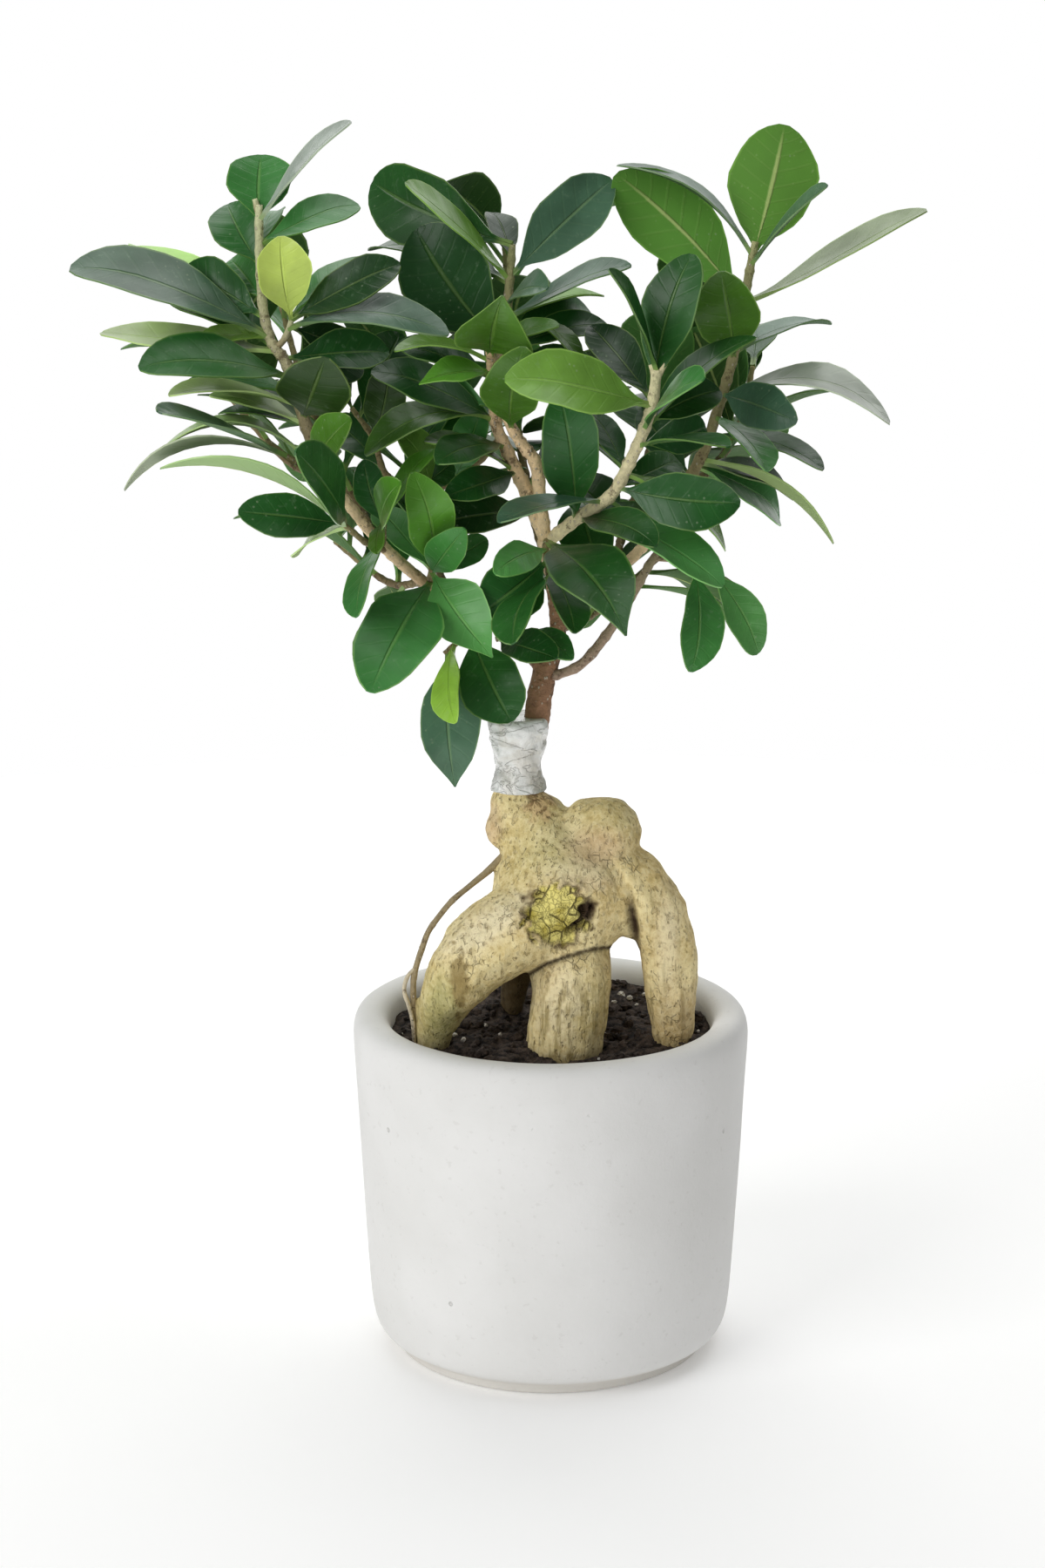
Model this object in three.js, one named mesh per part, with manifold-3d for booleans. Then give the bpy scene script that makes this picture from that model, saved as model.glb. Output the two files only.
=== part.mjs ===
// A ficus ginseng bonsai in a plain round pot.
// Millimetres, +Z up, origin at the centre of the pot's underside, the front view looks along +Y.
import * as THREE from 'three';
import { mergeVertices } from 'three/addons/utils/BufferGeometryUtils.js';
import Module from 'manifold-3d';

const wasm = await Module();
wasm.setup();

// Driving dimensions
const RIM_RADIUS = 70;
const POT_HEIGHT = 123;
const FOOT_RADIUS = 56;
const FOOT_HEIGHT = 4;
const OPENING_RADIUS = 56.8;
const POT_FLOOR = 14;
const SOIL_LEVEL = 115;
const BACK_RISE = 0.055;
const FIT_GAP = 0.3;
const ROOT_HOLE_GAP = 0.4;
const GRAFT_X = -11.5;
const STUMP_TOP = 224;
const TAPE_BOTTOM = 203;
const TAPE_TOP = 228.6;
const TAPE_WALL = 0.8;
const BLADE_THICKNESS = 1.5;
const PETIOLE_WIDTH = 1.7;
const LEAF_RATIO = 0.42;
const WIDEST_LEAF = 30;

// Where the front view is seen from. The shoots below are drawn in that view, as x and z on the
// plane y = 0, and each place is then slid along its line of sight to its own depth y.
const EYE = new THREE.Vector3(-10, -1149, 490);

function seen(x, z, y = 0) {
  const reach = 1 - y / EYE.y;
  return new THREE.Vector3(EYE.x + (x - EYE.x) * reach, y, EYE.z + (z - EYE.z) * reach);
}

function inFrontView(place) {
  const reach = 1 - place.y / EYE.y;
  return [EYE.x + (place.x - EYE.x) / reach, EYE.z + (place.z - EYE.z) / reach];
}

// A number from 0 to 1, always the same for the same count
function chance(count) {
  const wave = Math.sin(count * 12.9898 + 78.233) * 43758.5453;
  return wave - Math.floor(wave);
}

// Solids
function solid(geometry) {
  geometry.deleteAttribute('normal');
  geometry.deleteAttribute('uv');
  const merged = mergeVertices(geometry, 1e-3);
  return new wasm.Manifold(new wasm.Mesh({
    numProp: 3,
    vertProperties: new Float32Array(merged.attributes.position.array),
    triVerts: new Uint32Array(merged.index.array),
  }));
}

function joined(solids) {
  return solids.reduce((whole, piece) => whole.add(piece));
}

function largestBody(whole) {
  const bodies = whole.decompose();
  return bodies.reduce((best, body) => (body.volume() > best.volume() ? body : best));
}

function shapeOf(whole) {
  const mesh = whole.getMesh();
  const geometry = new THREE.BufferGeometry();
  geometry.setAttribute('position', new THREE.BufferAttribute(mesh.vertProperties, 3));
  geometry.setIndex(new THREE.BufferAttribute(mesh.triVerts, 1));
  const faceted = geometry.toNonIndexed();
  faceted.computeVertexNormals();
  return faceted;
}

function lathe(profile, segments) {
  return new THREE.LatheGeometry(profile.map(([r, z]) => new THREE.Vector2(r, z)), segments)
    .rotateX(Math.PI / 2);
}

function ball(x, y, z, rx, ry, rz, sides = 12, rings = 7) {
  return solid(new THREE.SphereGeometry(1, sides, rings).scale(rx, ry, rz).translate(x, y, z));
}

// The middle line of a limb: [x, z] in the front view and the depth y, for each place of its route
function middleLine(route) {
  const places = route.map(([x, z, y]) => seen(x, z, y));
  return new THREE.CatmullRomCurve3(places, false, 'catmullrom', 0.5);
}

// A limb with round sections: each place of the route ends with the limb's diameter there.
// It may be grown all round, for the hole or the clearance that it needs in its neighbours.
function limb(route, { sides = 6, stepsPerSpan = 2, grow = 0 } = {}) {
  const curve = middleLine(route);
  const spans = route.length - 1;
  const steps = spans * stepsPerSpan;
  const frames = curve.computeFrenetFrames(steps, false);
  const tube = new THREE.CylinderGeometry(1, 1, 1, sides, steps);
  const at = tube.attributes.position;
  for (let i = 0; i < at.count; i++) {
    const ring = Math.round((at.getY(i) + 0.5) * steps);
    const along = curve.getUtoTmapping(ring / steps) * spans;
    const span = Math.min(Math.floor(along), spans - 1);
    const diameter = THREE.MathUtils.lerp(route[span][3], route[span + 1][3], along - span);
    const radius = diameter / 2 + grow;
    const place = curve.getPointAt(ring / steps)
      .addScaledVector(frames.normals[ring], at.getX(i) * radius)
      .addScaledVector(frames.binormals[ring], -at.getZ(i) * radius);
    if (ring === 0) place.addScaledVector(frames.tangents[ring], -grow);
    if (ring === steps) place.addScaledVector(frames.tangents[ring], grow);
    at.setXYZ(i, place.x, place.y, place.z);
  }
  return solid(tube);
}

// One leaf with its stalk, as a four-sided bar that widens into a blade with sharp edges.
// The outline is [share of the length, share of the full width] from stalk to tip.
const LEAF_OUTLINE = [[0, 0], [0.12, 0.12], [0.36, 0.86], [0.75, 0.96], [1, 0]];

function leafSolid(leaf, { grow = 0, from = 0 } = {}) {
  const axis = leaf.tip.clone().sub(leaf.base);
  const length = axis.length();
  axis.divideScalar(length);
  const normal = leaf.normal.clone().addScaledVector(axis, -leaf.normal.dot(axis)).normalize();
  const across = axis.clone().cross(normal);
  const sections = LEAF_OUTLINE.length - 1;
  const blade = new THREE.ConeGeometry(1, 1, 4, sections);
  const at = blade.attributes.position;
  for (let i = 0; i < at.count; i++) {
    const ring = Math.round((at.getY(i) + 0.5) * sections);
    const outline = LEAF_OUTLINE[ring];
    const share = Math.max(outline[0], from);
    const spread = Math.hypot(at.getX(i), at.getZ(i));
    const side = spread > 1e-6 ? Math.round(at.getX(i) / spread) : 0;
    const face = spread > 1e-6 ? Math.round(at.getZ(i) / spread) : 0;
    const halfWidth = ring === sections ? 0
      : Math.max(PETIOLE_WIDTH / 2, outline[1] * leaf.width / 2) + grow;
    const halfThickness = ring === sections ? 0 : BLADE_THICKNESS / 2 + grow;
    const lift = leaf.bow * 4 * share * (1 - share) + Math.abs(side) * halfWidth * leaf.fold;
    const place = leaf.base.clone()
      .addScaledVector(axis, share * length + (ring === sections ? grow : 0))
      .addScaledVector(across, side * halfWidth)
      .addScaledVector(normal, face * halfThickness + lift);
    at.setXYZ(i, place.x, place.y, place.z);
  }
  return solid(blade);
}

// The leafy stems that the front view shows. A stem is a route of [x, z, y, diameter]. A leaf is
// [stalk x, stalk z, tip x, tip z, width seen, how much deeper its tip lies, bow of its middle].
// A width below 0 shows the underside.
const FRONT_SHOOTS = {
  leafy_stem_left: {
    stems: [
      [[-79, 317, -22, 4.2], [-83.5, 330, -22, 4], [-89.5, 350, -22, 3.8], [-93.5, 356, -21, 3.6],
        [-95.5, 360, -20, 3.4], [-97.5, 371, -18, 3.2], [-98.2, 388, -16, 3], [-98.3, 404, -14, 2.6]],
      [[-93.5, 356, -21, 2.2], [-90, 360, -22, 2.2], [-87.5, 367, -22, 1.8]],
    ],
    leaves: [
      [-99, 397, -97, 420.5, 22, 12], [-95, 399, -68, 432, 3.5, -10, 1], [-99, 384, -109, 405, 17, 16],
      [-97, 390, -92, 403, 9, 25], [-96, 390.5, -65, 405.5, 9.5, 10], [-98, 372, -108, 386, 14, 22],
      [-98.5, 359, -160.7, 386, 15, -10], [-100, 366, -125, 383, 18, 6],
      [-99, 366, -139, 391.5, 8, 44, 0], [-97, 352, -152, 361.5, 9, 16, 0], [-95, 355, -128, 374, 14, 14],
      [-96, 360, -120, 359, 6, 20], [-91, 345, -139, 351, 14, -22, 3],
      [-87, 340, -128, 344, 7, 20], [-86, 337, -129.7, 341, 3, -12], [-83, 330, -116, 340.5, 5, 4],
      [-84, 330, -113, 335, 5, 10], [-83, 333, -77, 352, 24, -26], [-88, 366, -91, 393.5, 18, -6],
      [-87, 366, -62.6, 387, 6, 16], [-87, 362, -35, 361, 11, -12, 7], [-86, 365, -51.5, 385, 13, 2],
      [-88, 363, -66, 353, 12, 18], [-91, 352, -55, 355, 13, 16], [-85, 342, -64, 352, 13, 22],
    ],
  },
  leafy_twig_left_low: {
    stems: [[[-79, 316, -22, 2.4], [-88, 318, -28, 2.2], [-97, 325, -30, 1.8]]],
    leaves: [
      [-81, 317, -69, 332, 12, -22], [-81, 316, -131, 324, 2.5, -4, 10], [-93, 318, -133, 335, 2.5, -2, 1],
      [-91, 318, -146, 309, -1.5, -3, 9],
    ],
  },
  leafy_twig_left_front: {
    stems: [[[-57, 287, -15, 2.4], [-64, 290, -24, 2.2], [-71, 296, -28, 1.9]]],
    leaves: [
      [-72, 300, -133, 316.5, -3, -8, 7], [-72, 300, -87, 321, 13, -10],
      [-70, 301, -107, 300.5, 15, -14, 3], [-71, 294, -87, 286, 4, 28],
    ],
  },
  leafy_spur_left: {
    stems: [[[-41.5, 275, -8, 2.4], [-41.5, 278, -13, 2.2], [-41, 281, -18, 2]]],
    leaves: [
      [-41.5, 280, -46, 312, 16, -20], [-40, 279, -31, 293, 13, -30], [-38, 279, -22, 291, 10, 8],
      [-42, 280, -21, 250.5, 21, -22], [-43, 276, -62, 240, 26, -16], [-41, 280, -60, 303, 12, 16],
    ],
  },
  leafy_spur_left_outer: {
    stems: [[[-58, 289, -16, 2.2], [-57.5, 292, -20, 2], [-57.5, 297, -24, 1.8]]],
    leaves: [
      [-57, 297, -40, 322, 6, 10], [-58, 295, -53, 310, 7, -28], [-56, 297, -60, 286, 5, -14],
      [-58, 291, -68, 265, 7.5, -16], [-57, 296, -64, 318, 11, -20],
    ],
  },
  leafy_stem_centre: {
    stems: [
      [[-2, 291, -5, 4.4], [-3.5, 302, -8.5, 4.2], [-5.5, 317, -12, 4.4], [-9.5, 323, -13, 3.8],
        [-14, 330, -14, 3.6], [-20, 345, -11, 3.6]],
      [[-2, 291, -5, 5], [-8.5, 307, -4, 5], [-12, 314, -4, 4.8], [-15.5, 322, -4, 4.4],
        [-19, 331, -5, 4], [-20, 345, -11, 3.8], [-21, 356, -20, 2.8]],
    ],
    leaves: [
      [-21, 354, -17, 373, 26, -20], [-20, 353, 2, 364.5, 4, -8, 3], [-22, 351, -53, 356.5, 3, -8, 3],
      [-20, 346, -52, 358, 9, -2], [-19, 331, -60, 350, 13, -8], [-21, 348, -44.5, 345.5, 8, -16, 2],
      [-13, 329, -10, 355, 20, -26], [-16, 323, -39, 318, 9, -30], [-12, 314, -36, 306, 12, -22],
      [-5, 299, -40, 296, 14, -20], [-19, 332, -63.5, 320, 9, -14, 8], [-20, 336, -46, 343, 13, 18],
      [-12, 315, -47, 329, 3.5, 18], [-12, 313, -43, 325, 4, -30, 3],
    ],
  },
  leafy_stem_inner_left: {
    stems: [[[-17, 326, -4, 2.6], [-26, 317, 4, 2.6], [-40, 308, 10, 2.5], [-50, 309, 9, 2.4],
      [-57, 314, 6, 2.3], [-61, 326, 5, 2.1], [-68, 336, 4, 1.7]]],
    leaves: [
      [-66, 333, -51, 362, 18, 14], [-60, 326, -55, 350, 14, -22], [-42, 309, -51, 328, 10, -26],
      [-50, 310, -36, 335, 9, 24], [-57, 314, -76, 333, 12, 16], [-33, 312, -24, 336, 12, 20],
      [-46, 308, -29, 322, 11, -18], [-67, 335, -80, 356, 12, 12],
    ],
  },
  leafy_stem_top: {
    stems: [[[-20, 341, -11, 3.4], [-17.5, 352, 0, 3.4], [-15.5, 365, 6, 3.3], [-14.5, 377, 8, 3.2],
      [-13.5, 391, 8, 2.5]]],
    leaves: [
      [-16, 392, -62.5, 413, 26, 24, 5], [-15, 379, -49, 411, 7, -18, 1], [-20, 357, -44, 394, 30, 6],
      [-15, 378, -60, 391, 11, 20], [-14, 385, -20, 402, 9, 20], [-14, 380, 20, 412.5, 20, 6],
      [-14.5, 366, 25.5, 385.5, 5.5, -10, 1], [-16, 371, -2.5, 377, 6, -28], [-15, 366, 17, 374.5, 4, 16],
      [-16, 359, 14, 370, 14, 18], [-17, 355, 19, 365, 9, 14], [-17, 357, 10, 351, 3, -8, 9],
      [-18, 350, 20, 346, 12, 24], [-17, 354, -42, 372, 13, 18],
    ],
  },
  leafy_stem_right_front: {
    stems: [[[-2, 290, -5, 4.4], [5.5, 295.5, -10, 4.3], [13, 301, -16, 4.3], [20.5, 306.5, -21, 4.3],
      [26.5, 317.5, -26, 4.2], [31, 328, -27, 4.1], [34, 337.5, -28, 3.9], [35.5, 349, -30, 3.4]]],
    leaves: [
      [32, 337, -14, 348, 18, -14], [7, 299, 3, 341, 20, -20], [17, 305, -18, 297, 6, -24],
      [34, 341, 46.5, 388, 18, 6], [32, 326, 68, 361, 7.5, 8], [32, 328, 51, 346, 3, -34],
      [30, 322, 60, 323, 2.5, -30, 2], [22, 309, 63.5, 303.5, 19, -12], [13, 300, 59, 275, 13, -14],
      [9, 297, 35, 291, 10, -30], [20, 303, 42, 286, 6, 16], [27, 312, 61, 289, 7, 12],
      [35.5, 348, 20, 383, 2.5, 12, 1], [34, 338, 13, 364, 14, 22], [31, 331, 57, 342, 13, 14],
      [29, 324, 53, 330, 13, 18], [22, 309, 44, 319, 11, 18], [24, 314, 13, 335, 9, 16],
    ],
  },
  leafy_stem_right: {
    stems: [[[45, 308, 14, 4.2], [52, 322, 14, 3.8], [57, 338, 13, 3.6], [61, 352, 12, 3.4],
      [64, 368, 10, 3.2], [66, 380, 10, 3], [68, 392, 10, 2.4]]],
    leaves: [
      [57, 339, 115, 333.5, 9, -8, 9.5], [54, 341, 82.5, 331.5, 16, -26, 3], [54, 333, 73.5, 315.5, 9, -36],
      [53, 326, 92.5, 315, 6.5, -14, 4], [50, 317, 83, 306.5, 7, 16], [51, 318, 96.5, 289.5, -2, 26, 6],
      [52, 314, 80, 299, 12, 24], [61, 354, 57, 381.5, 22, -26], [62, 355, 93.5, 365.5, 5, 22],
      [64, 371, 21.5, 414, -26, 8], [66, 386, 77, 430, -30, 10], [66, 387, 21.5, 417, 3, 22, 7],
      [66, 384, 91.5, 410.5, 2, -22, 1], [65, 371, 124, 404.5, 7, -6, -2.5], [47, 313, 30, 336, 13, 14],
    ],
  },
  leafy_twig_right_low: {
    stems: [
      [[-3, 242, 0, 3.4], [10, 247, -4, 3.4], [20, 259, -5, 3.2], [28, 272, -6, 3], [34, 283, -7, 2.8],
        [38, 287.5, -8, 2.4]],
      [[35, 284, -7, 1.7], [43, 283.5, -11, 1.7], [54, 280.5, -14, 1.6]],
    ],
    leaves: [[48, 282, 49, 245, 14, -18], [54, 280.5, 71.5, 251, 13, 4]],
  },
  leafy_spur_trunk: {
    stems: [[[-1.5, 291, -6, 2.6], [-2, 287, -11.5, 2.4], [-1, 277, -14, 2]]],
    leaves: [
      [-2, 287, -19, 280, 11, -24], [-2, 283, -24, 265, 21, -16], [-1, 278, -14, 256, 10, -28],
      [1, 289, 25.5, 260, 23, -18], [-1, 281, 8, 258.5, 11, -34],
    ],
  },
  leafy_spur_low: {
    stems: [[[-7, 254, -1, 2.2], [-12, 257.5, -8, 2], [-19, 256, -11, 1.8]]],
    leaves: [[-18, 255, 1.5, 249.5, 12, -26], [-12, 257.5, 6.5, 251, 9, -32]],
  },
  leafy_twig_hanging: {
    stems: [[[-22, 263, -2, 2.2], [-30, 257, -9, 2], [-37, 251, -12, 1.8]]],
    leaves: [
      [-26, 256, -14, 227, 22, -14], [-34, 254, -34, 227, 9, -26], [-35, 251, -33.5, 203, 21, -6],
    ],
  },
};

// The leafy stems at the back, with the number of leaves that a rule sets round each
const BACK_SHOOTS = {
  leafy_stem_back_left: {
    leaves: 10,
    stem: [[-60, 291, -15, 3.2], [-68, 306, 14, 3], [-78, 326, 40, 2.8], [-86, 350, 56, 2.5],
      [-92, 374, 64, 2]],
  },
  leafy_stem_back_outer_left: {
    leaves: 8,
    stem: [[-74, 310, -20, 2.8], [-90, 318, 8, 2.6], [-106, 336, 30, 2.3], [-116, 354, 42, 1.9]],
  },
  leafy_stem_back_inner_left: {
    leaves: 11,
    stem: [[-35, 271, -4, 3.2], [-42, 288, 26, 3], [-48, 316, 52, 2.6], [-52, 348, 66, 2]],
  },
  leafy_stem_back_centre: {
    leaves: 12,
    stem: [[1, 275, 0, 3.4], [-6, 298, 28, 3.1], [-12, 332, 54, 2.8], [-14, 362, 66, 2.4],
      [-16, 392, 70, 2]],
  },
  leafy_stem_back_right: {
    leaves: 12,
    stem: [[20, 278, 8, 3.2], [26, 298, 38, 2.9], [36, 330, 60, 2.5], [48, 362, 70, 2]],
  },
  leafy_stem_back_outer_right: {
    leaves: 8,
    stem: [[45, 308, 14, 3], [56, 317, 36, 2.7], [64, 331, 52, 2.4], [68, 350, 60, 1.9]],
  },
  leafy_twig_back_low_left: {
    leaves: 7,
    stem: [[-44, 276, -8, 2.8], [-56, 276, 18, 2.5], [-74, 290, 42, 1.9]],
  },
  leafy_twig_back_low_right: {
    leaves: 7,
    stem: [[2, 259, 0, 2.8], [16, 266, 26, 2.5], [36, 284, 46, 1.9]],
  },
};

// Which way the upper face of a leaf looks, when it is seen at this width from the front
function normalFromView(base, tip, widthSeen, width) {
  const axis = tip.clone().sub(base).normalize();
  const toEye = EYE.clone().sub(base.clone().lerp(tip, 0.5));
  const facing = toEye.addScaledVector(axis, -toEye.dot(axis)).normalize();
  const sideways = axis.clone().cross(facing);
  if (sideways.z < 0) sideways.negate();
  const turn = Math.acos(Math.min(1, Math.abs(widthSeen) / width));
  const half = widthSeen < 0 ? Math.PI - turn : turn;
  return facing.multiplyScalar(Math.cos(half)).addScaledVector(sideways, Math.sin(half));
}

// The ways in which a leaf of the front view may point: the same in that view, swung in depth
const SWINGS = [0, -5, 5, -10, 10, -16, 16, -23, 23, -31, 31, -40, 40];
const SAMPLES_PER_SPAN = 12;
const BOW_SHARE = 0.06;
const FOLD = 0.16;

function frontLeafWays(shoot, row) {
  const [stalkX, stalkZ, tipX, tipZ, widthSeen, deeper, bow] = row;
  let base;
  let nearest = Infinity;
  for (const route of shoot.stems) {
    const curve = middleLine(route);
    const samples = (route.length - 1) * SAMPLES_PER_SPAN;
    for (let k = 0; k <= samples; k++) {
      const place = curve.getPoint(k / samples);
      const [x, z] = inFrontView(place);
      const distance = Math.hypot(x - stalkX, z - stalkZ);
      if (distance < nearest) {
        nearest = distance;
        base = place;
      }
    }
  }
  return SWINGS.map((swing) => {
    const tip = seen(tipX, tipZ, base.y + deeper + swing);
    const length = tip.distanceTo(base);
    const width = Math.min(WIDEST_LEAF, Math.max(Math.abs(widthSeen), LEAF_RATIO * length));
    const normal = normalFromView(base, tip, widthSeen, width);
    return { base, tip, normal, width, bow: bow ?? BOW_SHARE * length, fold: FOLD };
  });
}

// The ways in which leaf number j of a back stem may point: out from the stem, a golden angle
// on from the leaf before, with small draws, and its upper face up and outwards
const GOLDEN_ANGLE = THREE.MathUtils.degToRad(137.5);
const BACK_TRIES = 160;

function backLeafWays(shoot, shootNumber, j) {
  const curve = middleLine(shoot.stem);
  const t = 0.26 + 0.74 * j / (shoot.leaves - 1);
  const base = curve.getPoint(t);
  const along = curve.getPoint(Math.min(1, t + 0.02)).sub(curve.getPoint(t - 0.02)).normalize();
  const level = new THREE.Vector3(0, 0, 1).cross(along).normalize();
  const upward = along.clone().cross(level);
  const ways = [];
  for (let k = 0; k < BACK_TRIES; k++) {
    const count = (shootNumber * 20 + j) * 100 + k;
    const turn = j * GOLDEN_ANGLE + (chance(count) - 0.5) * (1 + k * 0.05);
    const lean = 0.35 + 0.5 * chance(count + 0.3);
    const length = (44 + 12 * chance(count + 0.6)) * (1 - 0.0025 * k);
    const out = level.clone().multiplyScalar(Math.cos(turn)).addScaledVector(upward, Math.sin(turn));
    const way = out.clone().addScaledVector(along, lean).normalize();
    const tip = base.clone().addScaledVector(way, length);
    const normal = new THREE.Vector3(out.x * 0.5, 0.35 + out.y * 0.5, 1);
    const width = length * (0.42 + 0.06 * chance(count + 0.9));
    ways.push({ base, tip, normal, width, bow: 0.09 * length, fold: FOLD });
  }
  return ways;
}

// A back leaf stays behind the leaves of the front view: its middle, tip and edges lie on them or
// in the thick of the crown. In that view a front leaf is a bent line, short of its narrow ends,
// with the reach of half its width. The thick of the crown is ovals of [x, z, half width, half height].
const HIDING_MARGIN = -1.5;
const NARROW_END = 0.14;
const CROWN_OVALS = [[-52, 340, 38, 30], [-36, 370, 20, 20], [14, 330, 46, 30], [50, 346, 15, 30],
  [2, 352, 34, 18]];

function inCrown(x, z) {
  return CROWN_OVALS.some(([cx, cz, halfWidth, halfHeight]) => (
    Math.hypot((x - cx) / halfWidth, (z - cz) / halfHeight) < 1));
}

function frontLineOf(leaf, widthSeen) {
  const ends = [NARROW_END, 0.5, 1 - NARROW_END].map((share) => leaf.base.clone().lerp(leaf.tip, share));
  ends[1].addScaledVector(leaf.normal, leaf.bow);
  const [from, over, to] = ends.map((place) => {
    const [x, z] = inFrontView(place);
    return new THREE.Vector3(x, 0, z);
  });
  const reach = Math.abs(widthSeen) / 2 + HIDING_MARGIN;
  return { lines: [new THREE.Line3(from, over), new THREE.Line3(over, to)], reach };
}

function hidden(leaf, frontLines) {
  const axis = leaf.tip.clone().sub(leaf.base).normalize();
  const across = axis.clone().cross(leaf.normal).normalize().multiplyScalar(leaf.width * 0.4);
  const middle = leaf.base.clone().lerp(leaf.tip, 0.6).addScaledVector(leaf.normal, 2);
  const places = [leaf.tip, middle, middle.clone().add(across), middle.clone().sub(across)];
  return places.every((place) => {
    const [x, z] = inFrontView(place);
    const point = new THREE.Vector3(x, 0, z);
    return inCrown(x, z) || frontLines.some(({ lines, reach }) => lines.some((line) => {
      const closest = line.closestPointToPoint(point, true, new THREE.Vector3());
      return closest.distanceTo(point) < reach;
    }));
  });
}

// What stands already: each solid with its box and the shoot that it belongs to
const standing = [];

function stand(whole, owner, part) {
  standing.push({ whole, owner, part, box: whole.boundingBox() });
}

function apart(a, b) {
  return [0, 1, 2].some((i) => a.max[i] < b.min[i] || b.max[i] < a.min[i]);
}

function clashes(whole, skip) {
  const box = whole.boundingBox();
  return standing.some((other) => !skip(other) && !apart(box, other.box)
    && whole.intersect(other.whole).volume() > 0);
}

// A leaf is clear when it crosses nothing of another shoot, with the fit gap round it, and its
// blade crosses no other blade of its own shoot
function isClear(leaf, owner) {
  const roomy = leafSolid(leaf, { grow: FIT_GAP + 0.1 });
  if (clashes(roomy, (other) => other.owner === owner)) return false;
  const blade = leafSolid(leaf, { from: 0.3 });
  return !clashes(blade, (other) => other.owner !== owner || other.part !== 'blade');
}

const placedLeaves = {};

function placeLeaf(leaf, owner) {
  placedLeaves[owner].push(leafSolid(leaf));
  stand(leafSolid(leaf), owner, 'leaf');
  stand(leafSolid(leaf, { from: 0.3 }), owner, 'blade');
}

// The pot: foot, rounded bottom, slightly tapering wall, thick rounded rim, and the inside
const potProfile = [
  [0, 0], [FOOT_RADIUS - 1, 0], [FOOT_RADIUS, 1], [FOOT_RADIUS, FOOT_HEIGHT], [60, FOOT_HEIGHT + 1.6],
  [63, 9.5], [64.8, 20], [RIM_RADIUS, 114], [69.7, 119], [67.8, 121.8],
  [65.5, POT_HEIGHT], [61.5, POT_HEIGHT], [58.6, 121.4], [OPENING_RADIUS, 117.5],
  [OPENING_RADIUS, SOIL_LEVEL - 2], [52, 24], [45, POT_FLOOR], [0, POT_FLOOR],
];
const pot = solid(lathe(potProfile, 36));

// The rootstock, drawn as limbs and swellings that run into each other
const LEG_SIDES = 10;
const legRoutes = {
  right: [[12, 174, -8, 32], [27, 167.5, -10, 29.5], [36.5, 156.5, -11, 26.5], [41, 146, -12, 21],
    [42.3, 136, -12, 20.4], [43.2, 125, -12, 17.6], [43, 115, -12, 14.2], [43, 99, -12, 12]],
  left: [[2, 158, -15, 34], [-12, 152.5, -20, 32], [-24, 144.3, -22, 28.6], [-34, 132.5, -23, 23.5],
    [-40, 120, -18, 15], [-42.5, 99, -14, 9.5]],
  central: [[5, 158, -12, 34], [6.3, 142, -15, 31.5], [7, 129, -18, 29], [5, 114, -19, 28.6],
    [4, 97, -18, 26]],
  rearLeft: [[-3, 155, 6, 20], [-11, 138, 17, 12], [-14, 119, 22, 9], [-15, 99, 23, 7]],
  rearRight: [[10, 158, 6, 22], [13, 136, 18, 14], [10, 116, 24, 10], [9, 99, 25, 8]],
  aerial: [[-17, 178, -6, 2.6], [-26.5, 169, -11, 1.9], [-34.5, 162.5, -15, 1.9], [-41.3, 154, -17, 1.9],
    [-45.4, 145.5, -18, 1.9], [-48, 136, -18, 1.9], [-48.6, 127.5, -17, 1.9], [-48.4, 120, -16, 1.9],
    [-47.5, 104, -15, 1.8]],
};
const neckRoute = [[0, 178, -6, 36], [-7, 189, -3, 28], [-10.8, 197, -1, 22.6], [GRAFT_X, 202, 0, 17.4],
  [GRAFT_X, 207, 0, 13.6], [GRAFT_X, 212.5, 0, 12.7], [GRAFT_X, 219, 0, 15.6], [GRAFT_X, STUMP_TOP, 0, 17.2]];

function rootstock() {
  const legs = Object.entries(legRoutes).map(([name, route]) => (
    limb(route, { sides: name === 'aerial' ? 5 : LEG_SIDES })));
  const body = [
    limb(neckRoute, { sides: 12 }),
    ball(5, -8, 168.5, 26, 24, 25, 16, 10),
    ball(-16.5, -6, 189.5, 7, 8, 7.5),
    ball(17.2, -9, 189.6, 15, 13.5, 13.2),
    ball(18.5, -10, 177, 13, 14, 14),
    ball(-4.5, -13, 163, 14.5, 15, 14),
  ];
  const crater = ball(13.2, -36, 158, 2.6, 6, 4.6, 8, 6);
  return largestBody(joined([...body, ...legs]).subtract(crater));
}

// The soil fills the pot, with a lumpy top and plain holes that the roots stand in
function soil() {
  const rings = 4;
  const sectors = 22;
  const profile = [[0, POT_FLOOR + FIT_GAP], [44.6, POT_FLOOR + FIT_GAP], [51.4, 24.3],
    [OPENING_RADIUS - 0.45, SOIL_LEVEL - 2.2]];
  for (let k = 0; k <= rings; k++) {
    profile.push([(OPENING_RADIUS - 0.45) * (1 - k / rings), SOIL_LEVEL]);
  }
  const heap = lathe(profile, sectors);
  const at = heap.attributes.position;
  for (let i = 0; i < at.count; i++) {
    if (at.getZ(i) < SOIL_LEVEL - 0.1) continue;
    const x = at.getX(i);
    const y = at.getY(i);
    const lumps = Math.sin(x * 0.31 + 1) * Math.cos(y * 0.27) + 0.7 * Math.sin(x * 0.13 - y * 0.21);
    at.setZ(i, SOIL_LEVEL - 1.2 + lumps + Math.max(0, y) * BACK_RISE);
  }
  const holes = Object.entries(legRoutes).map(([name, route]) => (
    limb(route, { sides: name === 'aerial' ? 5 : LEG_SIDES, grow: ROOT_HOLE_GAP })));
  return largestBody(holes.reduce((rest, hole) => rest.subtract(hole), solid(heap)));
}

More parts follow.
